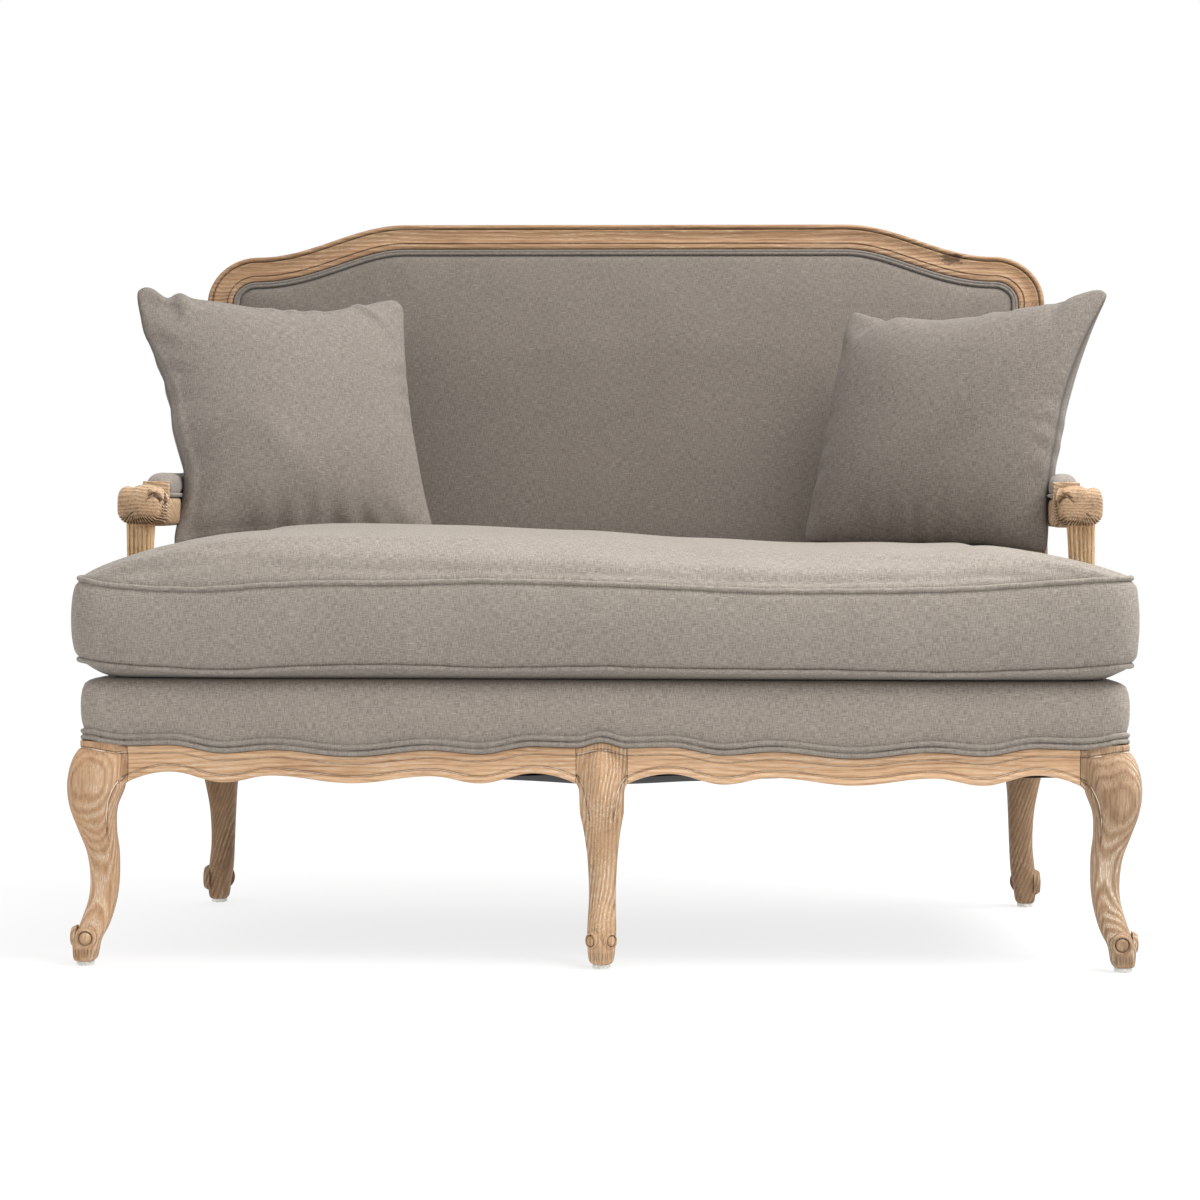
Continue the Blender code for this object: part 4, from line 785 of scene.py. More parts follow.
# Place across the face, depth in the moulding, paste left in it
face_shares = (
    (0.000, 1.70, 0.0),
    (0.015, 0.90, 0.0),
    (0.045, 0.40, 0.0),
    (0.080, 0.08, 0.0),
    (0.115, 0.00, 0.0),
    (0.150, 0.14, 0.0),
    (0.180, 0.55, 0.1),
    (0.203, 1.15, 0.4),
    (0.222, 1.15, 0.9),
    (0.240, 0.55, 0.1),
    (0.275, 0.30, 0.0),
    (0.360, 0.55, 0.0),
    (0.460, 0.85, 0.0),
    (0.560, 0.92, 0.0),
    (0.660, 0.75, 0.0),
    (0.745, 0.42, 0.0),
    (0.775, 0.75, 0.35),
    (0.795, 0.75, 0.35),
    (0.820, 0.15, 0.0),
    (0.880, -0.02, 0.0),
    (0.945, 0.04, 0.0),
    (0.985, 0.25, 0.1),
    (1.000, 0.60, 0.2),
)


def frame_profile():
    """Section of crest and stiles: inward place, depth to the rear, paste."""
    moulding = 0.0036
    inner = frame_face + rebate_width
    shelf = frame_depth - rear_rebate
    section = [(frame_face * across, moulding * deep, paste) for across, deep, paste in face_shares]
    section += [(frame_face, rebate_depth, 0), (inner, rebate_depth, 0), (inner, shelf, 0)]
    section += [(rear_margin, shelf, 0), (rear_margin, frame_depth, 0), (rear_chamfer, frame_depth, 0)]
    section += [(0.0012, frame_depth - 0.0012, 0), (0, frame_depth - rear_chamfer, 0)]
    return section


def on_back(across, deep, up):
    """A point of the raked back's own plane, in the row frame."""
    y = back_foot_y + deep * math.cos(back_lean) + up * math.sin(back_lean)
    return across, y, rail_top + up * math.cos(back_lean) - deep * math.sin(back_lean)


def unit(rows):
    """Rows of numbers scaled to a length of one each."""
    return rows / np.linalg.norm(rows, axis=1)[:, None]


def crest_line(inset, fine=1):
    """Right half of the back's outline: the middle, the slope, the shoulder."""
    points = [(crest_flat_half * k / (8 * fine), back_height) for k in range(8 * fine)]
    for k in range(24 * fine + 1):
        part = k / (24 * fine)
        x = crest_flat_half + (crest_shoulder_x - crest_flat_half) * part
        points.append((x, back_height - crest_drop * (1 - math.cos(math.pi * part)) / 2))
    for k in range(1, 20 * fine + 1):
        angle = math.pi / 2 * k / (20 * fine)
        x = crest_shoulder_x + (back_half - crest_shoulder_x) * math.sin(angle)
        points.append((x, back_height - crest_drop - shoulder_rise * (1 - math.cos(angle))))
    points = np.array(points)
    runs = np.gradient(points, axis=0)
    runs[0] = (1, 0)
    runs[-1] = (0, -1)
    runs = unit(runs)
    return points + np.stack([runs[:, 1], -runs[:, 0]], axis=1) * inset


def whole_crest(inset):
    """The outline from the left shoulder over the middle to the right shoulder."""
    right = crest_line(inset)
    return np.concatenate([right[:0:-1] * (-1, 1), right])


def frame_sweep(name, outer, inner):
    """The frame's moulding along its outer line, each ring towards the inner line."""
    rows = []
    marks = []
    for a, b in zip(outer, inner):
        inward = (np.array(b) - a) / frame_face
        ring = []
        for across, deep, _ in frame_profile():
            place = a + inward * across
            ring.append(on_back(place[0], deep, place[1]))
        rows.append(ring)
        marks.append([paste for _, _, paste in frame_profile()])
    return laid(name, rows, marks)


crest = frame_sweep("crest_rail_oak", whole_crest(0), whole_crest(frame_face))
crest_oak = oak("oak_crest", (160, 127, 95), (112, 80, 54), (204, 184, 156), 0.45, 0.0070, (8, 0, 0))
# A small dark knot in the right half of the crest
tree = crest_oak.node_tree
place = on_object(tree)
off_knot = tree.nodes.new("ShaderNodeMapping")
off_knot.vector_type = "TEXTURE"
off_knot.inputs["Location"].default_value = (0.497, 0.350, 0.966)
off_knot.inputs["Scale"].default_value = (0.024, 0.050, 0.010)
tree.links.new(place, off_knot.inputs["Vector"])
reach = tree.nodes.new("ShaderNodeVectorMath")
reach.operation = "LENGTH"
tree.links.new(off_knot.outputs[0], reach.inputs[0])
ragged = stretched(tree, place, (110, 110, 220), 3.0, 0.6)
knot = sums(tree, "MULTIPLY_ADD", ragged, 1.9, sums(tree, "SUBTRACT", reach.outputs["Value"], 0.95))
knot = between(tree, knot, 0.95, 0.55, 0.0, 0.80)
shader = tree.nodes["Principled BSDF"]
plain = shader.inputs["Base Color"].links[0].from_socket
tree.links.new(blended(tree, knot, plain, paint(72, 52, 38)), shader.inputs["Base Color"])
crest.data.materials.append(crest_oak)
put_in(crest, "frame", "limed_oak", "crest_rail", crease=40)

rear_foot = (0.598, 0.232)
rear_toe = math.pi / 4
leg_body = laid("leg", leg_rows(rear_foot, rear_toe, 0.95, 0.35, 0.055, 0.87, rail_top - joint_gap))
stile_run = np.array([back_half - stile_foot_half, joint_height - joint_gap - stile_root])
outer = np.array([(stile_foot_half, stile_root) + stile_run * k for k in np.linspace(0, 1, 40)])
stile = frame_sweep("stile", outer, outer - (frame_face, 0))
discs = scroll_pair(rear_foot, rear_toe, 0.95, 0.35, 0.0165, 0.0070)
post = fused("rear_post_oak_right", [leg_body, stile] + discs)
# The posts' oak is painted darker than the rails': painted shade for the rear legs in the shadow under the
# seat
shaded_post_oak = oak("oak_posts_shaded", (148, 117, 88), (98, 71, 48), (200, 180, 152), 0.45, 0.0056, (0, 70, 0))
post.data.materials.append(shaded_post_oak)
put_in_pair(post, "limed_oak", "rear_post", 40)

# ---------------------------------------------------------------------------
# Hidden timber. The rear seat rail, the back's lower rail, the stretcher and the
# corner blocks are plain planed beech, glued; a steel screw holds each block.


def tinted(tree, share, first, second):
    """Base colour of the shader, mixed between two paints."""
    colour = blended(tree, share, paint(*first), paint(*second))
    tree.links.new(colour, tree.nodes["Principled BSDF"].inputs["Base Color"])


def plain_wood(name, ground, vein, turn):
    """Planed, unfinished beech: short darker flecks along the grain."""
    made, tree, shader = blank(name)
    place = along_fibres(tree, turn)
    figure = stretched(tree, place, (5, 70, 70), 3.0)
    fleck = stretched(tree, place, (240, 1300, 1300), 1.0)
    broad = between(tree, figure, 0.35, 0.7, 0, 0.55)
    share = sums(tree, "MULTIPLY_ADD", between(tree, fleck, 0.56, 0.68), 0.45, broad)
    tinted(tree, share, ground, vein)
    tree.links.new(between(tree, figure, 0.3, 0.7, 0.50, 0.66), shader.inputs["Roughness"])
    raised(tree, fleck, 0.0004, 0.25)
    return made


def covered(node, material):
    """Gives a CAD node that stays in view its real material."""
    node.data.materials.clear()
    node.data.materials.append(material)


beech_across = plain_wood("beech_across", (205, 172, 130), (168, 130, 92), (0, 0, 0))
beech_along = plain_wood("beech_along", (203, 170, 129), (166, 128, 90), (0, 0, 90))
covered(nodes["rear_seat_rail"], beech_across)
covered(nodes["back_lower_rail"], beech_across)
covered(nodes["seat_centre_brace"], beech_along)

steel, tree, shader = blank("zinc_steel")
shader.inputs["Metallic"].default_value = 1.0
spangle = stretched(tree, on_object(tree), (900, 900, 900), 2.0)
tinted(tree, spangle, (150, 148, 142), (196, 194, 188))
tree.links.new(between(tree, spangle, 0.3, 0.7, 0.28, 0.48), shader.inputs["Roughness"])
for end in ("front", "rear"):
    for side in ("left", "right"):
        name = f"corner_block_{end}_{side}"
        covered(nodes[name], beech_across if end == "rear" else beech_along)
        covered(nodes[name + "_screw"], steel)

# ---------------------------------------------------------------------------
# Glides. A pale nylon disc nailed under each foot, moulded with a soft edge,
# scuffed grey where it slides.

nylon, tree, shader = blank("pale_nylon")
scuff = stretched(tree, on_object(tree), (300, 300, 500), 3.0)
tinted(tree, between(tree, scuff, 0.4, 0.7), (226, 225, 218), (190, 188, 180))
tree.links.new(between(tree, scuff, 0.3, 0.7, 0.35, 0.60), shader.inputs["Roughness"])
glide_radius = 0.0115
glide_height = foot_clearance - joint_gap
glide_places = {"front_centre": centre_foot, "rear_right": rear_foot}
glide_places["rear_left"] = (-rear_foot[0], rear_foot[1])
glide_places["front_right"] = corner_foot
glide_places["front_left"] = (-corner_foot[0], corner_foot[1])
for name, (x, y) in glide_places.items():
    middle = (x, y, glide_height / 2)
    bpy.ops.object.select_all(action="DESELECT")
    bpy.ops.mesh.primitive_cylinder_add(vertices=40, radius=glide_radius, depth=glide_height, location=middle)
    glide = bpy.context.object
    glide.name = f"glide_{name}"
    bpy.ops.object.transform_apply(location=True, rotation=True, scale=True)
    worked(glide, "BEVEL", width=0.0012, segments=3)
    glide.data.materials.append(nylon)
    put_in(glide, "frame", "nylon", f"foot_glide_{name}")

# ---------------------------------------------------------------------------
# Arms. Bowed oak arms end in carved hand-holds: a swelling leaf with a gadrooned
# underside and reeded inner cheek. Each is tenoned on a fluted, swept-back post.

arm_x = 0.614
arm_z = 0.583
arm_half = 0.020
arm_front = -0.222
arm_bow = 0.008
knuckle_length = 0.058
knuckle_half_width = 0.0295
knuckle_half_height = 0.027
knuckle_out = 0.0145
knuckle_rise = 0.009
gadroon_count = 46
reed_spacing = 0.0042
# Along the knuckle, its width, its height, how far it spreads outwards
knuckle_shares = (
    (0.00, 0.40, 0.36, 1.0),
    (0.03, 0.70, 0.64, 1.0),
    (0.08, 0.88, 0.84, 1.0),
    (0.16, 0.97, 0.95, 1.0),
    (0.45, 1.00, 1.00, 1.0),
    (0.72, 0.94, 0.93, 0.8),
    (0.90, 0.74, 0.80, 0.3),
    (1.00, 0.63, 0.74, 0.0),
)
arm_end = back_foot_y + math.tan(back_lean) * (arm_z - rail_top) + frame_depth
arm_start = arm_front + knuckle_length
rows = []
for along in np.concatenate([[0.0, 0.01], np.linspace(0.03, 1, 74)]):
    spread = sprung(along, knuckle_shares, 3)
    half_width = knuckle_half_width * sprung(along, knuckle_shares, 1)
    half_height = knuckle_half_height * sprung(along, knuckle_shares, 2)
    ring = rounded_square(half_width, half_height, 3.4, 144)
    y = arm_front + knuckle_length * along
    rows.append([(arm_x + knuckle_out * spread + a, y, arm_z + knuckle_rise * spread + b) for a, b in ring])
shaft_end = arm_end - frame_depth - 0.0022
for part in np.linspace(0, 1, 40)[1:]:
    y = arm_start + (shaft_end - arm_start) * part
    along = (y - arm_start) / (arm_end - arm_start)
    ring = rounded_square(arm_half, arm_half, 5.0, 144)
    rows.append([(arm_x + arm_bow * math.sin(math.pi * along) + a, y, arm_z + b) for a, b in ring])
rows[-1] = [(x, y + (z - arm_z) * math.tan(back_lean), z) for x, y, z in rows[-1]]
arm = laid("arm_oak_right", rows)
places, normals = points_of(arm)
x, y, z = places.T
middle_x = arm_x + knuckle_out
middle_z = arm_z + knuckle_rise
in_knuckle = np.clip((arm_start - 0.004 - y) / 0.012, 0, 1)
angle = np.arctan2((z - middle_z) / knuckle_half_height, (x - middle_x) / knuckle_half_width)
under = np.clip((arm_z - 0.004 - z) / 0.008, 0, 1) * in_knuckle
gadroons = under * (0.5 + 0.5 * np.cos(angle * gadroon_count)) ** 2
inner = np.clip((middle_x - 0.018 - x) / 0.006, 0, 1) * np.clip((y - arm_front - 0.014) / 0.010, 0, 1)
inner *= np.clip((arm_z + 0.012 - z) / 0.004, 0, 1) * (1 - under) * in_knuckle
wavy = z - 0.0012 * np.sin((y - arm_front) * 110)
reeds = inner * (0.5 + 0.5 * np.cos(wavy * 2 * np.pi / reed_spacing)) ** 2
# The leaf's turned-back edge: a zigzag ridge on the shoulder, the outer ear, and veins from the front
zigzag = ((-0.222, 0.0300), (-0.209, 0.0160), (-0.197, 0.0290), (-0.184, 0.0130), (-0.171, 0.0300))
cheek = (normals[:, 0] < -0.15) * in_knuckle
ridge = bell(off_line(y, z - arm_z, zigzag), 0.0024) * cheek
groove = bell(off_line(y, z - arm_z + 0.0052, zigzag), 0.0017) * cheek
top_cut = bell(x - middle_x - 0.010, 0.0065) * (z > middle_z + 0.014) * in_knuckle
top_cut *= np.clip((y - arm_front) / 0.01, 0, 1)
vein_place = (x - middle_x) * 0.8 + (z - middle_z) * 0.9
veins = (normals[:, 1] < -0.3) * (1 - under) * bell(vein_place + 0.004, 0.0011)
depth = 0.0036 * gadroons + 0.0018 * reeds + 0.0034 * groove + 0.0036 * top_cut + 0.0010 * veins
depth -= 0.0042 * ridge
cut_in(arm, places, normals, depth, 0.45 * gadroons + 0.5 * reeds + 0.5 * groove + 0.5 * veins)
# The lip that the pad's front end is tucked behind
lip = box((arm_x, arm_start - 0.003, arm_z + 0.0255), (0.036, 0.006, 0.031))
worked(lip, "BEVEL", width=0.0016, segments=3)
arm = fused("arm_oak_right", [arm, lip])
arm_oak = oak("oak_arms", (192, 158, 124), (98, 72, 50), (220, 204, 176), 0.90, 0.0046, (20, 0, 90))
arm.data.materials.append(arm_oak)
put_in_pair(arm, "limed_oak", "arm", 50)

post_foot_x = 0.641
post_head_x = 0.631
post_y = -0.185
post_top = 0.572
post_half = 0.0168
post_flare = 0.006
post_flute_count = 20
# Height up the post, sway to the rear, flare of its section
post_shares = (
    (0.0, 0.0, 1.0),
    (0.04, 0.05, 0.75),
    (0.12, 0.3, 0.25),
    (0.28, 0.8, 0.0),
    (0.50, 1.0, 0.0),
    (0.72, 0.75, 0.0),
    (0.88, 0.3, 0.1),
    (1.0, 0.0, 0.3),
)
rows = []
marks = []
for up in np.linspace(0, 1, 70):
    half = post_half + post_flare * sprung(up, post_shares, 2)
    ring = rounded_square(half, half, 3.6, 160)
    facing = np.arctan2(ring[:, 1], ring[:, 0])
    ends = min(1, up / 0.06) * min(1, (1 - up) / 0.05)
    fluted = (0.5 + 0.5 * np.cos(facing * post_flute_count)) ** 2 * ends
    cut = 1 - 0.085 * fluted
    x = post_foot_x + (post_head_x - post_foot_x) * up
    y = post_y + 0.012 * sprung(up, post_shares, 1)
    z = rail_top + joint_gap + (post_top - rail_top - joint_gap) * up
    rows.append([(x + a * c, y + b * c, z) for (a, b), c in zip(ring, cut)])
    marks.append(list(0.85 * fluted ** 3))
arm_post = laid("arm_post_oak_right", rows, marks)
post_tones = ((234, 196, 148), (164, 124, 84), (234, 218, 190))
arm_post.data.materials.append(oak("oak_arm_posts", *post_tones, 0.60, 0.0060, (0, 90, 0)))
put_in_pair(arm_post, "limed_oak", "arm_post", 50)

# ---------------------------------------------------------------------------
# Seat springing. Jute straps, six long and three across, woven over and under
# one another and tacked to the rails, with a slab of foam laid on top.

strap_width = 0.050
strap_thick = 0.0012
strap_lift = 0.0011
# How far the straps end inside the rails' outer faces
strap_tack = 0.012
# Across a strap and through it, once round
strap_section = ((-1, -1), (-0.5, -1), (0, -1), (0.5, -1), (1, -1))
strap_section += tuple((side, 1) for side, _ in reversed(strap_section))


def jute_straps(name, uprights, crosses, to_place):
    """Interlaced straps: each (middle, low end, high end) runs over and under the others."""
    straps = []
    for own, others, along_first in ((uprights, crosses, False), (crosses, uprights, True)):
        for index, (middle, low, high) in enumerate(own):
            steps = max(24, int((high - low) / 0.010))
            rows = []
            for run in np.linspace(low, high, steps):
                lift = 0.0
                for other, (place, _, _) in enumerate(others):
                    near = abs(run - place) / (strap_width * 1.1)
                    if near < 1:
                        over = 1 if (index + other + along_first) % 2 else -1
                        lift += over * strap_lift * (0.5 + 0.5 * math.cos(math.pi * near))
                ring = []
                for side, face in strap_section:
                    across = middle + side * strap_width / 2
                    height = lift + face * strap_thick / 2
                    spot = (run, across) if along_first else (across, run)
                    ring.append(to_place(*spot, height))
                rows.append(ring)
            straps.append(laid(name, rows))
    return fused(name, straps)


jute, tree, shader = blank("jute_webbing")
place = on_object(tree)
strands = stretched(tree, place, (420, 420, 420), 2.0, 0.7)
coarse = stretched(tree, place, (90, 90, 90), 2.0)
share = sums(tree, "MULTIPLY_ADD", strands, 0.8, sums(tree, "MULTIPLY", coarse, 0.3))
tinted(tree, share, (120, 96, 66), (196, 168, 128))
shader.inputs["Roughness"].default_value = 0.92
raised(tree, strands, 0.0006)

spread = 0.598 - 0.055 - strap_width
long_straps = []
for k in range(6):
    long_straps.append((spread * (2 * k / 5 - 1), seat_front + strap_tack, seat_rear - strap_tack))
cross_straps = []
for k in range(3):
    y = seat_front + 0.113 + 0.160 * k
    reach = side_x(y) - strap_tack
    cross_straps.append((y, -reach, reach))
strap_level = rail_top + 0.0018


def on_rails(across, run, up):
    """Place of a point of the seat's straps."""
    return across, run, strap_level + up


seat_straps = jute_straps("seat_straps", long_straps, cross_straps, on_rails)
seat_straps.data.materials.append(jute)
put_in(seat_straps, "frame", "webbing", "seat_webbing", crease=60)

# ---------------------------------------------------------------------------
# Deck. Grey-brown linen pulled over the foam slab and down the rails to their
# serpentine line, puckering a little where it is tacked; a double welt of the
# same cloth, two cords with a row of stitches between, hides the tacks.

deck_top = 0.368
deck_rear = 0.199
deck_welt_width = 0.015
welt_out = 0.0058
stitch_spacing = 0.0042
tack_spacing = 0.019
linen_thick = 0.0022


def linen_group():
    """Slubby linen: threads along X and Y, thick and thin, with pale flecks."""
    inputs = [("Position", "NodeSocketVector"), ("Ground", "NodeSocketColor"), ("Shade", "NodeSocketColor")]
    inputs += [("Fleck", "NodeSocketColor"), ("Seam", "NodeSocketFloat")]
    outputs = [("Colour", "NodeSocketColor"), ("Height", "NodeSocketFloat")]
    group, given, result = group_named("slub_linen", inputs, outputs)
    place = given.outputs["Position"]
    weft = stretched(group, place, (105, 1400, 1400), 1.5, 0.6)
    warp = stretched(group, place, (1400, 105, 1400), 1.5, 0.6, (3, 1, 7))
    slub = between(group, stretched(group, place, (60, 640, 640), 1.0, 0.5, (11, 5, 2)), 0.64, 0.76)
    knot = between(group, stretched(group, place, (420, 420, 420), 2.0, 0.6, (5, 9, 4)), 0.62, 0.74)
    cloud = stretched(group, place, (11, 11, 11), 2.0, 0.5, (2, 8, 6))
    threads = sums(group, "MULTIPLY_ADD", weft, 0.50, sums(group, "MULTIPLY", warp, 0.50))
    share = between(group, threads, 0.40, 0.60)
    share = sums(group, "MULTIPLY_ADD", sums(group, "SUBTRACT", cloud, 0.5), 0.35, share)
    colour = blended(group, share, given.outputs["Shade"], given.outputs["Ground"])
    pale = sums(group, "MULTIPLY", sums(group, "MAXIMUM", slub, knot), 0.50)
    colour = blended(group, pale, colour, given.outputs["Fleck"])
    # Along a marked seam the linen is darkened: painted shade in the seam's crease
    seam_shade = blended(group, sums(group, "MULTIPLY", given.outputs["Seam"], 0.75), colour, paint(62, 56, 51))
    group.links.new(seam_shade, result.inputs["Colour"])
    height = sums(group, "MULTIPLY_ADD", slub, 0.35, threads)
    group.links.new(height, result.inputs["Height"])
    return group


slub_linen = linen_group()


def linen(name, ground, shade, fleck, bump_strength=0.55):
    """The settee's linen on a piece's own cloth map, in metres."""
    made, tree, shader = blank(name)
    cloth = tree.nodes.new("ShaderNodeUVMap")
    cloth.uv_map = "cloth"
    weave = tree.nodes.new("ShaderNodeGroup")
    weave.node_tree = slub_linen
    tree.links.new(cloth.outputs[0], weave.inputs["Position"])
    for label, colour in zip(("Ground", "Shade", "Fleck"), (ground, shade, fleck)):
        weave.inputs[label].default_value = paint(*colour)
    seam = tree.nodes.new("ShaderNodeAttribute")
    seam.attribute_name = "seam"
    tree.links.new(seam.outputs["Fac"], weave.inputs["Seam"])
    tree.links.new(weave.outputs["Colour"], shader.inputs["Base Color"])
    dull = {"Roughness": 0.90, "Specular IOR Level": 0.18, "Sheen Weight": 0.12, "Sheen Roughness": 0.45}
    for label, value in dull.items():
        shader.inputs[label].default_value = value
    raised(tree, weave.outputs["Height"], 0.0007, bump_strength)
    return made


seat_linen = linen("linen_seat", (154, 146, 136), (120, 112, 104), (182, 174, 163))


def cloth_map(piece, turn=Matrix.Identity(3), shift=(0.0, 0.0)):
    """Lays the weave on a piece in metres: each face takes it from the side it faces."""
    mesh = piece.data
    while mesh.uv_layers:
        mesh.uv_layers.remove(mesh.uv_layers[0])
    layer = mesh.uv_layers.new(name="cloth")
    places, _ = points_of(piece)
    places = places @ np.array(turn)
    count = len(mesh.polygons)
    facing = np.empty(count * 3)
    mesh.polygons.foreach_get("normal", facing)
    facing = np.abs(facing.reshape(-1, 3) @ np.array(turn))
    sizes = np.empty(count, int)
    mesh.polygons.foreach_get("loop_total", sizes)
    corner = np.empty(len(mesh.loops), int)
    mesh.loops.foreach_get("vertex_index", corner)
    side = np.repeat(np.argmax(facing, axis=1), sizes)
    spots = places[corner]
    across = np.where(side == 0, spots[:, 1], spots[:, 0]) + shift[0]
    up = np.where(side == 2, spots[:, 1], spots[:, 2]) + shift[1]
    layer.data.foreach_set("uv", np.stack([across, up], axis=1).reshape(-1))


def length_along(line):
    """Length run at each point of a line."""
    return np.concatenate([[0], np.cumsum(np.linalg.norm(np.diff(line, axis=0), axis=1))])


def at_height(ring, height):
    """Points of a plan line, raised to a height or to one each."""
    return np.column_stack([ring, np.broadcast_to(height, len(ring))])


def half_edge():
    """The right half of the seat's edge: point, normal, upper line of the wood."""
    line = []
    for place in np.linspace(0, 1, 24)[:-1]:
        line.append(((place * centre_head_half, seat_front), (0, -1), head_lines(1 - place)[1]))
    line += [(p, n, top) for p, n, _, top in rail_stations(centre_head_half, corner_head_start, True)]
    line += [(p, n, top) for p, n, _, top in corner_head_stations()[1:]]
    side = rail_stations(side_head_end, side_rail_end, False)
    line += [(p, n, top) for p, n, _, top in side[1:] if p[1] < deck_rear]
    return line


right_edge = half_edge()
left_edge = [((-p[0], p[1]), (-n[0], n[1]), top) for p, n, top in reversed(right_edge[1:])]
seat_edge = left_edge + right_edge
edge_points = np.array([p for p, _, _ in seat_edge])
edge_normals = np.array([n for _, n, _ in seat_edge])
edge_tops = np.array([top for _, _, top in seat_edge])
edge_run = length_along(edge_points)
# The fold where the front welt turns the corner keeps the same line, so mitred normals are evened out
for _ in range(6):
    edge_normals[1:-1] = (edge_normals[:-2] + 2 * edge_normals[1:-1] + edge_normals[2:]) / 4
edge_normals = unit(edge_normals)

# Rings from the tacked edge to the platform: outward place in metres, height as a share
band_shares = (
    (0.0000, -0.10),
    (0.0022, 0.00),
    (0.0044, 0.12),
    (0.0056, 0.28),
    (0.0060, 0.46),
    (0.0054, 0.64),
    (0.0036, 0.80),
    (0.0005, 0.91),
    (-0.0050, 0.97),
    (-0.0130, 1.00),
    (-0.0300, 1.01),
)
unevenness = 1.7 * np.sin(edge_run * 31) + 2.2 * np.sin(edge_run * 11.3)
pucker = 0.5 + 0.5 * np.sin(edge_run * 2 * np.pi / tack_spacing + unevenness)
lull = 0.5 + 0.5 * np.sin(edge_run * 7.1 + 1.2)
middle = np.array([0, deck_rear])
outward = unit(edge_points - middle)
rows = []
for out, up in band_shares:
    foot = edge_tops + deck_welt_width + 0.002
    height = foot + (deck_top - 0.0005 - foot) * up
    fold = 0.0011 * pucker * lull * math.exp(-(((up - 0.12) / 0.28) ** 2))
    reach = out - fold * (out > 0)
    # On the flat platform the rings run towards the rear middle, so that none folds at a corner
    course = outward if out < -0.008 else edge_normals
    rows.append(at_height(edge_points + course * reach[:, None], height))
# The platform closes in level rings towards the middle of its rear edge
last = rows[-1][:, :2]
for share in np.linspace(1, 0.004, 14)[1:]:
    rows.append(at_height(middle + (last - middle) * share, deck_top))
band = laid("deck_linen", rows, closed=False, capped=False)
bpy.ops.object.mode_set(mode="EDIT")
bpy.ops.mesh.select_all(action="SELECT")
bpy.ops.mesh.remove_doubles(threshold=0.0001)
bpy.ops.object.mode_set(mode="OBJECT")
places, normals = points_of(band)
if normals[np.argmin(np.abs(places[:, 1]))][2] < 0:
    band.data.flip_normals()
worked(band, "SOLIDIFY", thickness=linen_thick, offset=-1)


def notched(piece, middle, size):
    """Cuts the space of a block out of a piece of cloth."""
    cutter = box(middle, size)
    worked(piece, "BOOLEAN", operation="DIFFERENCE", solver="EXACT", object=cutter)
    bpy.data.objects.remove(cutter, do_unlink=True)


# The cloth is notched round the arm posts and left open towards the sides
notch_half = post_half + post_flare + 0.0013
notch_size = (2 * (notch_half + 0.06), 2 * notch_half, 0.084)
for side in (-1, 1):
    notched(band, (side * (post_foot_x + 0.06), post_y + 0.002, 0.3880), notch_size)
cloth_map(band)
band.data.materials.append(linen("linen_deck", (158, 149, 139), (124, 115, 106), (184, 175, 163)))
put_in(band, "frame", "linen", "deck_cover", crease=40)

# Behind the foam the cloth turns down and is tacked along the rear rail
tuck_half = 0.5655
tuck_line = ((0.1965, 0.3697), (0.2000, 0.3696), (0.2030, 0.3685), (0.2045, 0.3650), (0.2050, 0.3590))
tuck_line += ((0.2056, 0.3530), (0.2074, 0.3504), (0.2110, 0.3498), (0.2220, 0.3498), (0.2350, 0.3496))
rows = [[(x, y, z) for x in np.linspace(-tuck_half, tuck_half, 64)] for y, z in tuck_line]
tuck = laid("deck_tuck", rows, closed=False, capped=False)
if tuck.data.polygons[0].normal.z < 0:
    tuck.data.flip_normals()
worked(tuck, "SOLIDIFY", thickness=0.0010, offset=-1)
cloth_map(tuck)
tuck.data.materials.append(band.data.materials[0])
put_in(tuck, "frame", "linen")

foam, tree, shader = blank("seat_foam")
cells = stretched(tree, on_object(tree), (700, 700, 700), 2.0, 0.7)
tinted(tree, cells, (214, 200, 150), (240, 230, 190))
shader.inputs["Roughness"].default_value = 0.95
raised(tree, cells, 0.0010)


def softened(name, node, width):
    """A foam slab cut to its node's outline, its edges rounded by the cloth over it."""
    slab = nodes[node].copy()
    slab.data = nodes[node].data.copy()
    for key in list(slab.keys()):
        del slab[key]
    slab.parent = None
    slab.name = name
    slab.data.name = name
    bpy.context.scene.collection.objects.link(slab)
    alone(slab)
    bpy.ops.object.mode_set(mode="EDIT")
    bpy.ops.mesh.select_all(action="SELECT")
    bpy.ops.mesh.remove_doubles(threshold=0.00001)
    bpy.ops.mesh.dissolve_limited(angle_limit=math.radians(3))
    bpy.ops.object.mode_set(mode="OBJECT")
    worked(slab, "BEVEL", width=width, segments=3, limit_method="ANGLE")
    slab.data.materials.clear()
    slab.data.materials.append(foam)
    put_in(slab, "frame", "foam", node)


softened("deck_foam_slab", "deck_foam", 0.004)

# Across the double welt and out from the wood: two cords, a flat stitched valley between
cord_shares = ((0.00, 0.00), (0.02, 0.45), (0.10, 0.86), (0.22, 1.00), (0.34, 0.88), (0.44, 0.58))
cord_shares += ((0.50, 0.46),)
double_shares = cord_shares + tuple((1 - across, out) for across, out in reversed(cord_shares[:-1]))
rise = welt_out + 0.0003 * np.sin(edge_run * 2 * np.pi / 0.0061)
rows = []
for across, out in double_shares:
    reach = joint_gap + rise * out
    height = edge_tops + joint_gap + deck_welt_width * across
    stitch = 0.0014 * (np.sin(edge_run * 2 * np.pi / stitch_spacing) > 0.1) * (abs(across - 0.5) < 0.05)
    rows.append(at_height(edge_points + edge_normals * (reach - stitch)[:, None], height))
deck_welt = laid("deck_double_welt", np.array(rows).transpose(1, 0, 2))
cloth_map(deck_welt)
welt_linen = linen("linen_welts", (154, 146, 136), (118, 110, 102), (180, 172, 161))
deck_welt.data.materials.append(welt_linen)
put_in(deck_welt, "frame", "linen", "deck_welt", crease=50)

# ---------------------------------------------------------------------------
# Dust cover. Thin black cambric stapled under the seat between the rails,
# which sags in the middle and shows as a dark strip beside the centre leg.

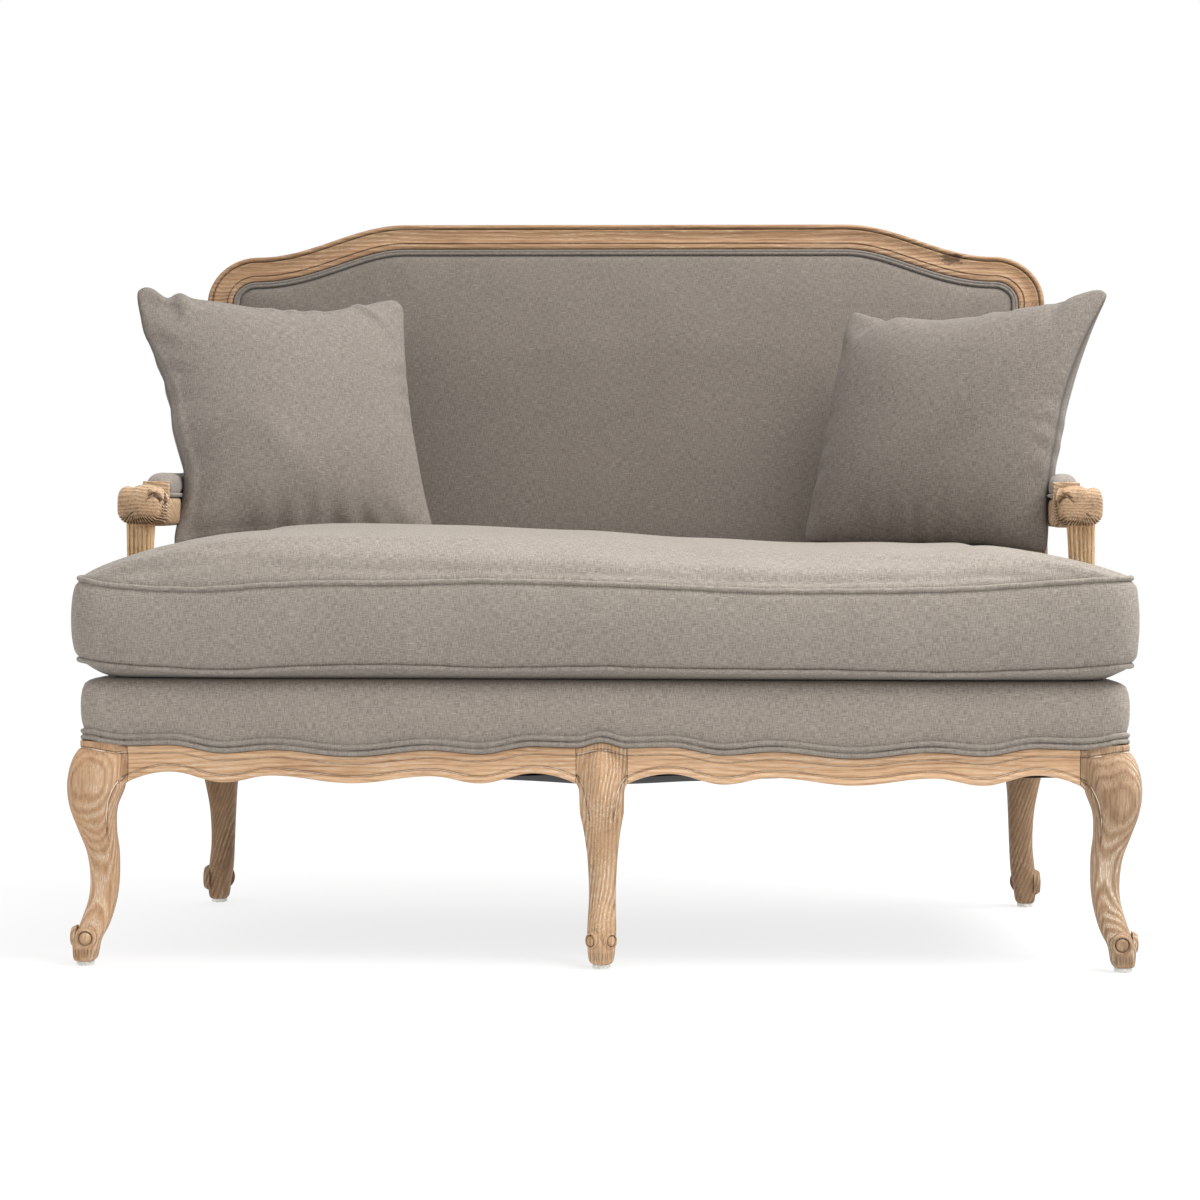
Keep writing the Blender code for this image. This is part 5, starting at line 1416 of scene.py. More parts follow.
dust_edge = 0.2440
dust_sag = 0.031
cambric_thick = 0.0008
front = seat_front + rail_thickness + cambric_thick
rear = seat_rear - rail_thickness - cambric_thick
rows = []
for v in np.linspace(-1, 1, 60):
    y = front + (rear - front) * (v + 1) / 2
    half = side_x(y) - rail_thickness - cambric_thick
    if y < side_head_end + 0.001:
        half = min(half, corner_head_start - 0.001)
    if y > side_rail_end - 0.001:
        half = min(half, 0.5662 - 0.001)
    row = []
    for u in np.linspace(-1, 1, 120):
        ripple = 0.0012 * math.sin(u * 19 + v * 3) * (1 - v * v) + 0.0008 * math.sin(u * 47) * abs(v) ** 3
        taut = 0.006 * min(1, max(0, -u - 0.35) / 0.2)
        z = dust_edge + taut - dust_sag * (1 - u * u) ** 4 * (1 - v * v) + ripple * (1 - u ** 4)
        row.append((half * u, y, z))
    rows.append(row)
cambric_sheet = laid("cambric_sheet", rows, closed=False, capped=False)
if cambric_sheet.data.polygons[0].normal.z < 0:
    cambric_sheet.data.flip_normals()
worked(cambric_sheet, "SOLIDIFY", thickness=cambric_thick, offset=-1)
leg_space = (2 * centre_head_half + 0.0012, knee_side, 0.2)
notched(cambric_sheet, (0, seat_front + knee_side / 2, 0.25), leg_space)
cambric, tree, shader = blank("black_cambric")
felt = stretched(tree, on_object(tree), (500, 500, 500), 2.0, 0.7)
tinted(tree, felt, (16, 16, 17), (44, 43, 43))
shader.inputs["Roughness"].default_value = 0.88
raised(tree, felt, 0.0003)
cambric_sheet.data.materials.append(cambric)
put_in(cambric_sheet, "frame", "cambric", "dust_cover", crease=60)

# ---------------------------------------------------------------------------
# Back. Five upright and three cross straps carry a thin foam; linen is pulled
# over it into the frame's rebate, domed and tight, and a flat double welt is
# glued along the wood. The outside is a flat cover with a welt of its own.

back_foot = 0.056
welt_width = 0.010


def inner_half(height, inset):
    """Half width between the stiles at a height of the back, less an inset."""
    part = (height - stile_root) / (joint_height - stile_root)
    return stile_foot_half + (back_half - stile_foot_half) * part - inset


def evenly_spaced(line, spacing):
    """A line of points, closed and run through again at an even spacing."""
    closed = np.concatenate([line, line[:1]])
    run = length_along(closed)
    places = np.linspace(0, run[-1], int(run[-1] / spacing), endpoint=False)
    return np.stack([np.interp(places, run, axis) for axis in closed.T], axis=1)


def back_outline(inset, foot, spacing=0.012):
    """Closed outline of a panel of the back: crest, stile, foot, stile, evenly spaced."""
    crest_part = whole_crest(inset)
    low = foot + (inset - frame_face)
    top = crest_part[-1][1]
    heights = np.linspace(top, low, 50)[1:]
    right = np.array([(inner_half(height, inset), height) for height in heights])
    base = np.linspace(right[-1][0], -right[-1][0], 110)[1:-1]
    base = np.stack([base, np.full(len(base), low)], axis=1)
    left = right[::-1] * (-1, 1)
    line = np.concatenate([crest_part, right, base, left])
    return evenly_spaced(line, spacing)


def pressed_out(piece, held, pressure, cap, frames=18, stiffness=15.0):
    """Fills a cover by cloth simulation from inside: held points stay, others move to the cap."""
    start, _ = points_of(piece)
    grip = piece.vertex_groups.new(name="tacked")
    for index, weight in enumerate(held):
        if weight > 0:
            grip.add([index], float(weight), "REPLACE")
    cloth = piece.modifiers.new("filling", "CLOTH")
    settings = cloth.settings
    settings.quality = 5
    settings.mass = 0.3
    settings.tension_stiffness = stiffness
    settings.compression_stiffness = stiffness
    settings.shear_stiffness = 5.0
    settings.bending_stiffness = 0.6
    settings.use_pressure = True
    settings.uniform_pressure_force = pressure
    settings.vertex_group_mass = "tacked"
    settings.effector_weights.gravity = 0.0
    cloth.collision_settings.use_collision = False
    cloth.point_cache.frame_start = 1
    cloth.point_cache.frame_end = frames
    scene = bpy.context.scene
    for step in range(1, frames + 1):
        scene.frame_set(step)
    view = piece.evaluated_get(bpy.context.evaluated_depsgraph_get())
    blown = np.empty(len(start) * 3)
    view.data.vertices.foreach_get("co", blown)
    piece.modifiers.remove(cloth)
    piece.vertex_groups.remove(grip)
    scene.frame_set(1)
    moved = blown.reshape(-1, 3) - start
    reach = np.linalg.norm(moved, axis=1)
    moved *= (np.minimum(reach, cap) / np.maximum(reach, 0.0000001))[:, None]
    free = 1 - np.clip(np.asarray(held, float), 0, 1)
    piece.data.vertices.foreach_set("co", (start + moved * free[:, None]).reshape(-1))
    piece.data.update()


low = 0.1023
half = inner_half(low, frame_face + rebate_width + 0.0012)
top = back_height - crest_drop - frame_face - rebate_width
uprights = [(half * (2 * (k + 0.5) / 5 - 1), low, top) for k in range(5)]
crosses = []
for k in range(3):
    z = low + (top - strap_width - low) * (k + 0.5) / 3
    reach = inner_half(z, 0.0527)
    crosses.append((z, -reach, reach))
strap_depth = rebate_depth + 0.0106


def in_frame(across, run, up):
    """Place of a point of the back's straps."""
    return on_back(across, strap_depth - up, run)


back_straps = jute_straps("back_straps", uprights, crosses, in_frame)
back_straps.data.materials.append(jute)
put_in(back_straps, "frame", "webbing", "back_webbing", crease=60)
softened("back_foam_slab", "back_foam", 0.002)

# Place of a ring between edge and middle, and its rise towards the sitter
dome_shares = ((1.0, 0.0), (0.992, 0.10), (0.975, 0.21), (0.94, 0.36), (0.84, 0.60), (0.66, 0.82))
dome_shares += ((0.42, 0.95), (0.18, 1.0), (0.0, 1.0))
dome_height = 0.0265
panel_inset = frame_face + welt_width + 0.0006
panel_outline = back_outline(panel_inset, back_foot)
panel_middle = np.array([0, (back_height + back_foot) / 2])
dome_read = [(1 - share, rise) for share, rise in dome_shares]
top_line = crest_line(panel_inset, 3)
panel_foot = back_foot + panel_inset - frame_face
panel_half = inner_half(joint_height, panel_inset)
bearing = np.arctan2(panel_outline[:, 1] - panel_middle[1], panel_outline[:, 0])
reach = np.hypot(panel_outline[:, 0], panel_outline[:, 1] - panel_middle[1])
order = np.argsort(bearing)
spread = np.linspace(-1, 1, 127)
spread = np.sign(spread) * (1 - (1 - np.abs(spread)) ** 1.35)
levels = 1 - (1 - np.linspace(0, 1, 60)) ** 1.1
rows = []
for level in levels:
    row = []
    for u in spread:
        high = np.interp(abs(u) * panel_half, top_line[:, 0], top_line[:, 1])
        z = panel_foot + (high - panel_foot) * level
        x = u * inner_half(min(z, joint_height), panel_inset)
        above = z - panel_middle[1]
        limit = np.interp(math.atan2(above, x), bearing[order], reach[order], period=2 * math.pi)
        share = min(1, math.hypot(x, above) / limit)
        row.append(on_back(x, 0.0035 - dome_height * sprung(1 - share, dome_read, 1), z))
    rows.append(row)
panel = laid("inside_back_linen", rows, closed=False, capped=False)
bpy.ops.object.mode_set(mode="EDIT")
bpy.ops.mesh.select_mode(type="EDGE")
bpy.ops.mesh.select_all(action="DESELECT")
bpy.ops.mesh.select_non_manifold()
# The cloth's edge turns in behind the welt
tuck_deep = 0.0062
turned_in = (0, tuck_deep * math.cos(back_lean), -tuck_deep * math.sin(back_lean))
bpy.ops.mesh.extrude_region_move(TRANSFORM_OT_translate={"value": turned_in})
bpy.ops.mesh.edge_face_add()
bpy.ops.mesh.select_all(action="SELECT")
bpy.ops.mesh.normals_make_consistent(inside=False)
bpy.ops.mesh.select_mode(type="VERT")
bpy.ops.object.mode_set(mode="OBJECT")
places, _ = points_of(panel)
deep = (places[:, 1] - back_foot_y) * math.cos(back_lean) - (places[:, 2] - rail_top) * math.sin(back_lean)
held = np.clip((deep + 0.0045) / 0.004, 0, 1)
pressed_out(panel, held, 1.2, 0.0045)
# Faint pull lines fan from the tacks along the edge
places, normals = points_of(panel)
across = places[:, 0]
from_edge = np.clip((-deep - 0.001) / 0.018, 0, 1)
pull = 0.0004 * np.sin(across * 2 * np.pi / 0.043 + 2.0 * np.sin(across * 9))
pull *= np.exp(-((from_edge - 0.45) ** 2) / 0.05)
panel.data.vertices.foreach_set("co", (places + normals * pull[:, None]).reshape(-1))
upright = Matrix.Rotation(-back_lean, 3, "X")
cloth_map(panel, upright)
# The back's cloth is the seat's linen painted darker: painted shade for the back and its outside cover
shaded_back_linen = linen("linen_back", (118, 110, 102), (94, 87, 80), (144, 135, 125), 0.45)
panel.data.materials.append(shaded_back_linen)
put_in(panel, "frame", "linen", "inside_back_cover", crease=60)


# The back's welts take the same painted shade: the seat's linen painted darker
shaded_back_welt_linen = linen("linen_back_welts", (124, 117, 109), (98, 92, 86), (148, 140, 131))
flat_shares = ((0.0, 0.0), (0.02, 0.62), (0.07, 0.84), (0.16, 0.96), (0.28, 1.0), (0.42, 0.97), (0.50, 0.90))
flat_shares += tuple((1 - across, out) for across, out in reversed(flat_shares[:-1]))


def back_welt(name, outline, base, height, node):
    """A double welt that runs round inside an outline of the back."""
    closed = np.concatenate([outline[-1:], outline, outline[:1]])
    runs = closed[2:] - closed[:-2]
    runs = unit(runs)
    inward = np.stack([runs[:, 1], -runs[:, 0]], axis=1)
    rows = []
    for point, normal in zip(outline, inward):
        ring = []
        for across, out in flat_shares:
            place = point + normal * (welt_width * across)
            ring.append(on_back(place[0], base - height * out, place[1]))
        rows.append(ring)
    rows.append(rows[0])
    welt = laid(name, rows, capped=False)
    cloth_map(welt, upright)
    welt.data.materials.append(shaded_back_welt_linen)
    put_in(welt, "frame", "linen", node, crease=50)


outline = back_outline(frame_face + joint_gap, back_foot, 0.005)
back_welt("inside_back_double_welt", outline, 0.0097, 0.0100, "inside_back_welt")

outside_thick = 0.003
outside_front = frame_depth - rear_rebate + joint_gap
outside_inset = rear_margin + 0.0006
welt_base = outside_front + outside_thick + joint_gap
outside_foot = frame_face - outside_inset + math.tan(back_lean) * (welt_base + 0.0045) + 0.0006
outline = back_outline(outside_inset, outside_foot)
middle = np.array([0, (back_height + outside_foot) / 2])
rows = []
for share in np.linspace(0, 1, 34):
    ring = middle + (outline - middle) * share
    slack = 0.0007 * (1 - share ** 4)
    row = []
    for x, z in ring:
        deep = outside_front + outside_thick - 0.0010 + slack * math.sin(x * 6 + z * 4) ** 2
        row.append(on_back(x, deep, z))
    rows.append(row)
outside = laid("outside_back_linen", rows, capped=False)
if outside.data.polygons[len(outside.data.polygons) // 2].normal.y < 0:
    outside.data.flip_normals()
worked(outside, "SOLIDIFY", thickness=0.0016, offset=-1)
cloth_map(outside, upright)
outside.data.materials.append(shaded_back_linen)
put_in(outside, "frame", "linen", "outside_back_cover", crease=60)
height = back_height - outside_inset - outside_foot
outline = back_outline(outside_inset + joint_gap, outside_foot, 0.006)
back_welt("outside_back_double_welt", outline, welt_base, -0.0045, "outside_back_welt")

# ---------------------------------------------------------------------------
# Arm pads. Hair-stuffed rolls of the same linen, fullest in the middle of the
# arm, tacked along both edges under a single welt.

pad_height = 0.036
pad_front = arm_start + 0.002
pad_rear = back_foot_y - 0.020
pad_base = arm_z + arm_half + joint_gap
# Size of a ring, and its share of the pad's height
pad_rings = ((1.0, 0.0), (1.06, 0.08), (1.13, 0.20), (1.18, 0.32), (1.18, 0.46), (1.14, 0.58), (1.06, 0.70))
pad_rings += ((0.95, 0.80), (0.82, 0.88), (0.68, 0.94), (0.52, 0.98), (0.34, 1.0), (0.16, 1.01), (0.03, 1.01))


def pad_line(inset, count=40, ends=0.0105):
    """Plan outline of the right pad, round at its ends, along the bow of the arm."""
    half = arm_half - inset
    right = []
    for y in np.linspace(pad_front + inset, pad_rear - inset, count):
        near = min(y - pad_front - inset, pad_rear - inset - y)
        width = half * (0.62 + 0.38 * math.sqrt(1 - (1 - min(1, near / ends)) ** 2))
        x = arm_x + arm_bow * math.sin(math.pi * (y - arm_start) / (arm_end - arm_start))
        right.append((x, y, width))
    left = [(x - width, y) for x, y, width in reversed(right)]
    return np.array([(x + width, y) for x, y, width in right] + left)


outline = pad_line(0.0050)
middle_y = outline[:, 1].mean()
# Each ring keeps to the bowed middle of the arm
bow = arm_x + arm_bow * np.sin(np.pi * (outline[:, 1] - arm_start) / (arm_end - arm_start))
rows = []
for share, up in pad_rings:
    across = (outline[:, 0] - bow) * share
    along = (outline[:, 1] - middle_y) * (1 - (1 - share) * 0.25)
    ring = np.stack([bow + across, middle_y + along], axis=1)
    rows.append(at_height(ring, pad_base + 0.95 * pad_height * up))
pad = laid("arm_pad_linen_right", rows)
places, _ = points_of(pad)
held = np.clip((pad_base + 0.006 - places[:, 2]) / 0.004, 0, 1)
pressed_out(pad, held, 3.0, 0.0022)
worked(pad, "SUBSURF", levels=1, render_levels=1)
cloth_map(pad)
pad_linen = linen("linen_arms", (148, 139, 130), (116, 108, 100), (174, 165, 154))
pad.data.materials.append(pad_linen)
twin = put_in_pair(pad, "linen", "arm_pad", 70)


def round_welt(name, line, radius, sides=14):
    """A single welt: a round cord in a bias strip, along a closed line of points."""
    line = np.asarray(line, float)
    ahead = unit(np.roll(line, -1, axis=0) - np.roll(line, 1, axis=0))
    out = unit(np.cross(ahead, (0, 0, 1)))
    up = np.cross(out, ahead)
    rows = []
    for angle in np.linspace(0, 2 * np.pi, sides, endpoint=False):
        rows.append(line + (out * math.cos(angle) + up * math.sin(angle)) * radius)
    rows = np.array(rows).transpose(1, 0, 2)
    rows = np.concatenate([rows, rows[:1]])
    return laid(name, rows, capped=False)


cord_line = at_height(pad_line(0.00125, 60), pad_base + 0.0025)
welt = round_welt("arm_pad_cord_right", cord_line, 0.0026)
cloth_map(welt)
welt.data.materials.append(welt_linen)
put_in_pair(welt, "linen", "arm_pad_welt", 70)

# ---------------------------------------------------------------------------
# Seat cushion. A loose T-shaped box cushion, foam wrapped in down, its top
# crowned and its border swelling. A welt runs along the upper and the lower
# seam; both wander a little, and their front corners stand up.

cushion_half_front = 0.6785
cushion_half_neck = 0.600
cushion_half_rear = 0.578
cushion_front = -0.386
cushion_ear = -0.226
cushion_rear = 0.176
seam_low = 0.383
seam_high = 0.488
cushion_crown = 0.074
border_swell = 0.010
under_inset = 0.034
crown_rear_share = 2.4
# Along the front from left to right, rise of the seam over its level
high_seam_places = (
    (-0.680, 0.0100),
    (-0.640, 0.0005),
    (-0.580, -0.0040),
    (-0.510, -0.0060),
    (-0.440, 0.0000),
    (-0.370, 0.0035),
    (-0.260, 0.0035),
    (-0.155, 0.0070),
    (-0.050, 0.0050),
    (0.070, 0.0007),
    (0.210, -0.0060),
    (0.360, -0.0050),
    (0.470, -0.0020),
    (0.550, 0.0040),
    (0.620, 0.0090),
    (0.680, 0.0125),
)
low_seam_places = (
    (-0.680, 0.0130),
    (-0.650, 0.0070),
    (-0.620, 0.0025),
    (-0.550, -0.0010),
    (-0.480, -0.0045),
    (-0.420, 0.0000),
    (-0.340, 0.0030),
    (-0.260, 0.0040),
    (-0.150, 0.0000),
    (0.000, 0.0025),
    (0.100, 0.0000),
    (0.200, -0.0010),
    (0.300, -0.0010),
    (0.380, -0.0030),
    (0.450, -0.0045),
    (0.520, -0.0015),
    (0.600, 0.0015),
    (0.660, 0.0070),
    (0.680, 0.0080),
)


def arcs_and_runs(corners, spacing):
    """A closed plan line through rounded corners, evenly spaced, with its outward normals."""
    line = []
    count = len(corners)
    for i, (x, y, radius) in enumerate(corners):
        here = Vector((x, y))
        back = (Vector(corners[i - 1][:2]) - here).normalized()
        ahead = (Vector(corners[(i + 1) % count][:2]) - here).normalized()
        half_angle = back.angle(ahead) / 2
        centre = here + (back + ahead).normalized() * (radius / math.sin(half_angle))
        start = here + back * (radius / math.tan(half_angle)) - centre
        finish = here + ahead * (radius / math.tan(half_angle)) - centre
        swing = start.angle_signed(finish)
        for k in range(13):
            line.append(centre + Matrix.Rotation(-swing * k / 12, 2) @ start)
    line = evenly_spaced(np.array([tuple(p) for p in line]), spacing)
    ahead = unit(np.roll(line, -1, axis=0) - np.roll(line, 1, axis=0))
    return line, np.stack([ahead[:, 1], -ahead[:, 0]], axis=1)


corners = [
    (cushion_half_front, cushion_front, 0.034),
    (cushion_half_front, cushion_ear, 0.014),
    (cushion_half_neck, cushion_ear, 0.010),
    (cushion_half_rear, cushion_rear, 0.034),
]
corners += [(-x, y, radius) for x, y, radius in reversed(corners)]
seam_line, seam_out = arcs_and_runs(corners, 0.008)


def seam_wave(x, y, table):
    """Rise of a seam: as seen along the front, dying away down the sides."""
    wave = np.interp(x, [row[0] for row in table], [row[1] for row in table])
    return wave * np.clip((cushion_front + 0.22 - y) / 0.20, 0, 1)


def evened(values, passes):
    """A closed run of values with its kinks taken out."""
    for _ in range(passes):
        values = (np.roll(values, 1) + 2 * values + np.roll(values, -1)) / 4
    return values


low_line = seam_low + evened(seam_wave(seam_line[:, 0], seam_line[:, 1], low_seam_places), 10)
high_line = seam_high + evened(seam_wave(seam_line[:, 0], seam_line[:, 1], high_seam_places), 10)


# Along the seat from left to right, how far sitting has pressed the crown down
worn_places = (
    (-0.680, 0.0000),
    (-0.400, 0.0010),
    (-0.220, 0.0040),
    (-0.050, 0.0080),
    (0.120, 0.0160),
    (0.260, 0.0200),
    (0.400, 0.0150),
    (0.520, 0.0035),
    (0.600, 0.0000),
    (0.680, 0.0000),
)


def crown_at(x, y):
    """Height of the crown over the upper seam: fullest left of the middle, less to the rear."""
    peak = cushion_front + 0.306
    to_rear = (y - peak) / (cushion_rear - peak) * crown_rear_share
    run = np.maximum((peak - y) / (peak - cushion_front), to_rear)
    across = x / cushion_half_front
    worn = np.array([waved(place, worn_places, 1) for place in np.ravel(x)]).reshape(np.shape(x))
    return cushion_crown * (1 - 0.30 * run * run) * (1 - 0.28 * across ** 6) * (1 - 0.15 * across) - worn


# Size of a ring above the upper seam, and its share of the crown
crown_shares = ((0.0, 1.0), (0.25, 1.0), (0.52, 0.98), (0.75, 0.91), (0.88, 0.75), (0.95, 0.50))
crown_shares += ((0.980, 0.26), (1.0, 0.0))
seam_centre = np.array([0, cushion_front + 0.086])
base = deck_top + joint_gap
rows = []
cushion_middle = np.array([0, (cushion_front + cushion_rear) / 2])
cushion_half = np.array([cushion_half_front, (cushion_rear - cushion_front) / 2])


def drawn_under(inset):
    """The seam's plan line drawn in under the cushion by an even distance."""
    return cushion_middle + (seam_line - cushion_middle) * (1 - inset / cushion_half)


for share in (0.05, 0.35, 0.65, 0.96):
    rows.append(at_height(cushion_middle + (drawn_under(under_inset) - cushion_middle) * share, base))
for inset, up in ((under_inset, 0.06), (0.027, 0.20), (0.017, 0.45), (0.007, 0.75)):
    rows.append(at_height(drawn_under(inset), base + (low_line - base) * up))
for up in np.linspace(0, 1, 15):
    swell = border_swell * 0.86 * math.sin(math.pi * up) ** 0.5
    rows.append(at_height(seam_line + seam_out * swell, low_line + (high_line - low_line) * up))
seam_lift = high_line - seam_high
for share in np.concatenate([np.linspace(0.995, 0.93, 10), np.linspace(0.91, 0.02, 38)]):
    ring = seam_centre + (seam_line - seam_centre) * share
    rise = crown_at(ring[:, 0], ring[:, 1]) * sprung(share, crown_shares, 1) * 0.97
    rows.append(at_height(ring, seam_high + rise + seam_lift * max(0, (share - 0.80) / 0.20)))
cushion = laid("seat_cushion_linen", rows)
worked(cushion, "REMESH", mode="VOXEL", voxel_size=0.0075)


def nearness(places, line, reach):
    """How near points lie to a seam: one on it, none beyond the reach."""
    near = np.zeros(len(places))
    for part in np.array_split(np.arange(len(places)), max(1, len(places) // 4000)):
        gap = np.linalg.norm(places[part][:, None, :] - line[None], axis=2).min(axis=1)
        near[part] = np.clip(1.4 - gap / reach, 0, 1)
    return near


high_seam = at_height(seam_line, high_line)
low_seam = at_height(seam_line, low_line)
places, _ = points_of(cushion)
held = np.maximum(*[nearness(places, seam, 0.010) for seam in (high_seam, low_seam)])
held = np.maximum(held, places[:, 2] < base + 0.006)
pressed_out(cushion, held, 4.0, 0.006, frames=16)
worked(cushion, "SUBSURF", levels=1, render_levels=1)


def creased(piece, seams, depth, width, ripple):
    """Draws the cloth in along its seams, with small gathers beside the stitches."""
    places, normals = points_of(piece)
    for seam in seams:
        for part in np.array_split(np.arange(len(places)), max(1, len(places) // 4000)):
            away = np.linalg.norm(places[part][:, None, :] - seam[None], axis=2)
            nearest = away.argmin(axis=1)
            gap = away[np.arange(len(part)), nearest]
            drawn = bell(gap, width) * depth
            beside = bell(gap - 2.2 * width, 1.6 * width)
            gather = np.sin(nearest * 0.62 + 1.9 * np.sin(nearest * 0.083)) * beside * ripple
            places[part] -= normals[part] * (drawn + gather)[:, None]
    piece.data.vertices.foreach_set("co", places.reshape(-1))
    piece.data.update()


creased(cushion, (high_seam, low_seam), 0.0022, 0.006, 0.0005)
cloth_map(cushion)
cushion.data.materials.append(seat_linen)
put_in(cushion, "seat_cushion", "linen", "seat_cushion", crease=80)
cloth_places, _ = points_of(cushion)


def cloth_reach(seam):
    """How far outside a seam's plan line the finished cloth lies, point by point."""
    reach = []
    for spot, out in zip(seam, seam_out):
        nearest = cloth_places[np.argmin(((cloth_places - spot) ** 2).sum(axis=1))]
        reach.append(float(np.dot(nearest[:2] - spot[:2], out)))
    return evened(np.array(reach), 8)


cushion_cords = (
    ("cushion_cord_low", low_seam, "seat_cushion_welt_low", -0.001),
    ("cushion_cord_high", high_seam, "seat_cushion_welt_high", 0.0015),
)
for name, seam, node, drop in cushion_cords:
    track = seam_line + seam_out * np.minimum(0.0014, cloth_reach(seam) + 0.0004)[:, None]
    wander = 0.0003 * np.sin(np.arange(len(track)) * 0.9)
    cord = round_welt(name, at_height(track, seam[:, 2] + drop + wander), 0.0034)
    cloth_map(cord)
    cord.data.materials.append(welt_linen)
    put_in(cord, "seat_cushion", "linen", node, crease=80)

# ---------------------------------------------------------------------------
# Throw pillows. Two square knife-edge pillows of the same linen, feather filled,
# turned towards the sitter. The arm presses the outer side of each, and the
# outer upper corner stands up as an ear.

pillow_half = 0.191
pillow_thick = 0.072
# From the outer to the inner corner, how far the upper edge stands over the pillow's half
left_top = ((-1.0, 0.002), (-0.95, 0.005), (-0.89, 0.001), (-0.82, -0.015), (-0.74, -0.014), (-0.50, -0.019))
left_top += ((-0.10, -0.029), (0.30, -0.030), (0.62, -0.020), (0.82, -0.009), (0.93, -0.005), (1.0, -0.009))
right_top = ((-1.0, 0.002), (-0.96, 0.009), (-0.90, 0.007), (-0.78, -0.005), (-0.51, -0.020), (-0.28, -0.027))
right_top += ((0.11, -0.037), (0.35, -0.031), (0.74, -0.026), (0.86, -0.018), (0.95, -0.012), (1.0, -0.015))


def pillow_cover(name, side, waist, dent, ear, ear_shares, top_edge, sag, bend):
    """Both faces of a pillow, seamed along its edge, in its own frame."""
    cells = 60
    spread = np.linspace(-1, 1, cells)
    spread = np.sign(spread) * (1 - (1 - np.abs(spread)) ** 1.15)
    u, v = np.meshgrid(spread, spread)
    outer = np.maximum(0, side * u)
    near = np.maximum(0, 1 - ((v + 0.55) / 0.50) ** 2)
    pinch = waist * (1 - v * v) + dent * outer * near * near
    blunt = 1 - 0.040 * np.abs(u) ** 14 * np.abs(v) ** 14
    rise = np.vectorize(lambda place: sprung(place, top_edge, 1))(-side * u)
    drop = sag * outer ** 5
    x = (u * (pillow_half - pinch) + side * 0.35 * drop * np.maximum(0, -v) ** 4) * blunt
    x += side * ear * outer ** 3 * np.clip(v / ear_shares[0], 0, 1) ** ear_shares[1]
    z = (v * pillow_half + np.maximum(0, v) ** 1.6 * rise - np.maximum(0, -v) ** 4 * drop) * blunt
    full = np.maximum(0, 1 - np.abs(u) ** 2.6) * np.maximum(0, 1 - np.abs(v) ** 2.6)
    flat = np.maximum(0, 1 - np.where(side * u > 0, np.abs(u) ** 7, np.abs(u) ** 2.6))
    flat *= np.maximum(0, 1 - np.abs(v) ** 2.6)
    front = np.stack([x, -pillow_thick * 0.955 * full ** 0.62, z], axis=2)
    back = np.stack([x, pillow_thick * 0.955 * flat ** 0.62, z], axis=2)
    halves = []
    rim_marks = (np.maximum(np.abs(u), np.abs(v)) > 0.9999).astype(float)
    for half in (front, back):
        halves.append(laid(name, half, rim_marks, closed=False, capped=False))
    cover = fused(name, halves)
    bpy.ops.object.mode_set(mode="EDIT")
    bpy.ops.mesh.select_all(action="SELECT")
    bpy.ops.mesh.remove_doubles(threshold=0.00002)
    bpy.ops.mesh.normals_make_consistent(inside=False)
    bpy.ops.object.mode_set(mode="OBJECT")
    places, _ = points_of(cover)
    held = np.clip(1 - np.abs(places[:, 1]) / 0.006, 0, 1)
    pressed_out(cover, held, 3.0, 0.0035, frames=16, stiffness=8.0)
    worked(cover, "SUBSURF", levels=1, render_levels=1)
    places, normals = points_of(cover)
    x, y, z = places.T
    outwards = x * side
    rim = np.abs(y)
    # Gathers that run in from the seam, soft folds from the corners, a crease along the stitches
    turn = np.arctan2(z, x)
    along = turn * 9 + 1.3 * np.sin(turn * 5 + side)
    pleat = 0.0012 * np.sin(along * 2.2) * bell(rim - 0.018, 0.014) * (rim > 0.001)
    hollow = 0.0040 * bell(outwards - z * 0.9 - 0.10, 0.035) * bell(outwards + z + 0.02, 0.09)
    top_fold = 0.0075 * bell(outwards - 0.150, 0.012) * bell(z - 0.165, 0.030)
    inner_fold = 0.0060 * bell(outwards + 0.128 + (0.150 - z) * 0.9, 0.010) * bell(z - 0.150, 0.026)
    foot_fold = 0.0018 * np.sin(x * 2 * np.pi / 0.052 + side + 2 * np.sin(x * 23)) * bell(z + 0.175, 0.030)
    # The seam mark darkens the linen along the edge: painted shade in the crease
    seam = cover.data.attributes["paste"]
    seam.name = "seam"
    marked = np.empty(len(places))
    seam.data.foreach_get("value", marked)
    marked = np.clip(marked * 1.4 - 0.4, 0, 1) ** 2
    seam.data.foreach_set("value", marked)
    stitch = 0.0016 * marked
    moved = pleat - (hollow + top_fold + inner_fold + foot_fold) * (y < 0) - stitch
    places = places + normals * moved[:, None]
    edge = np.clip((outwards - 0.095) / 0.09, 0, 1) ** 2 * np.clip(1 - (z / 0.20) ** 2, 0, 1)
    places[:, 1] -= bend * edge
    cover.data.vertices.foreach_set("co", places.reshape(-1))
    cover.data.update()
    return cover
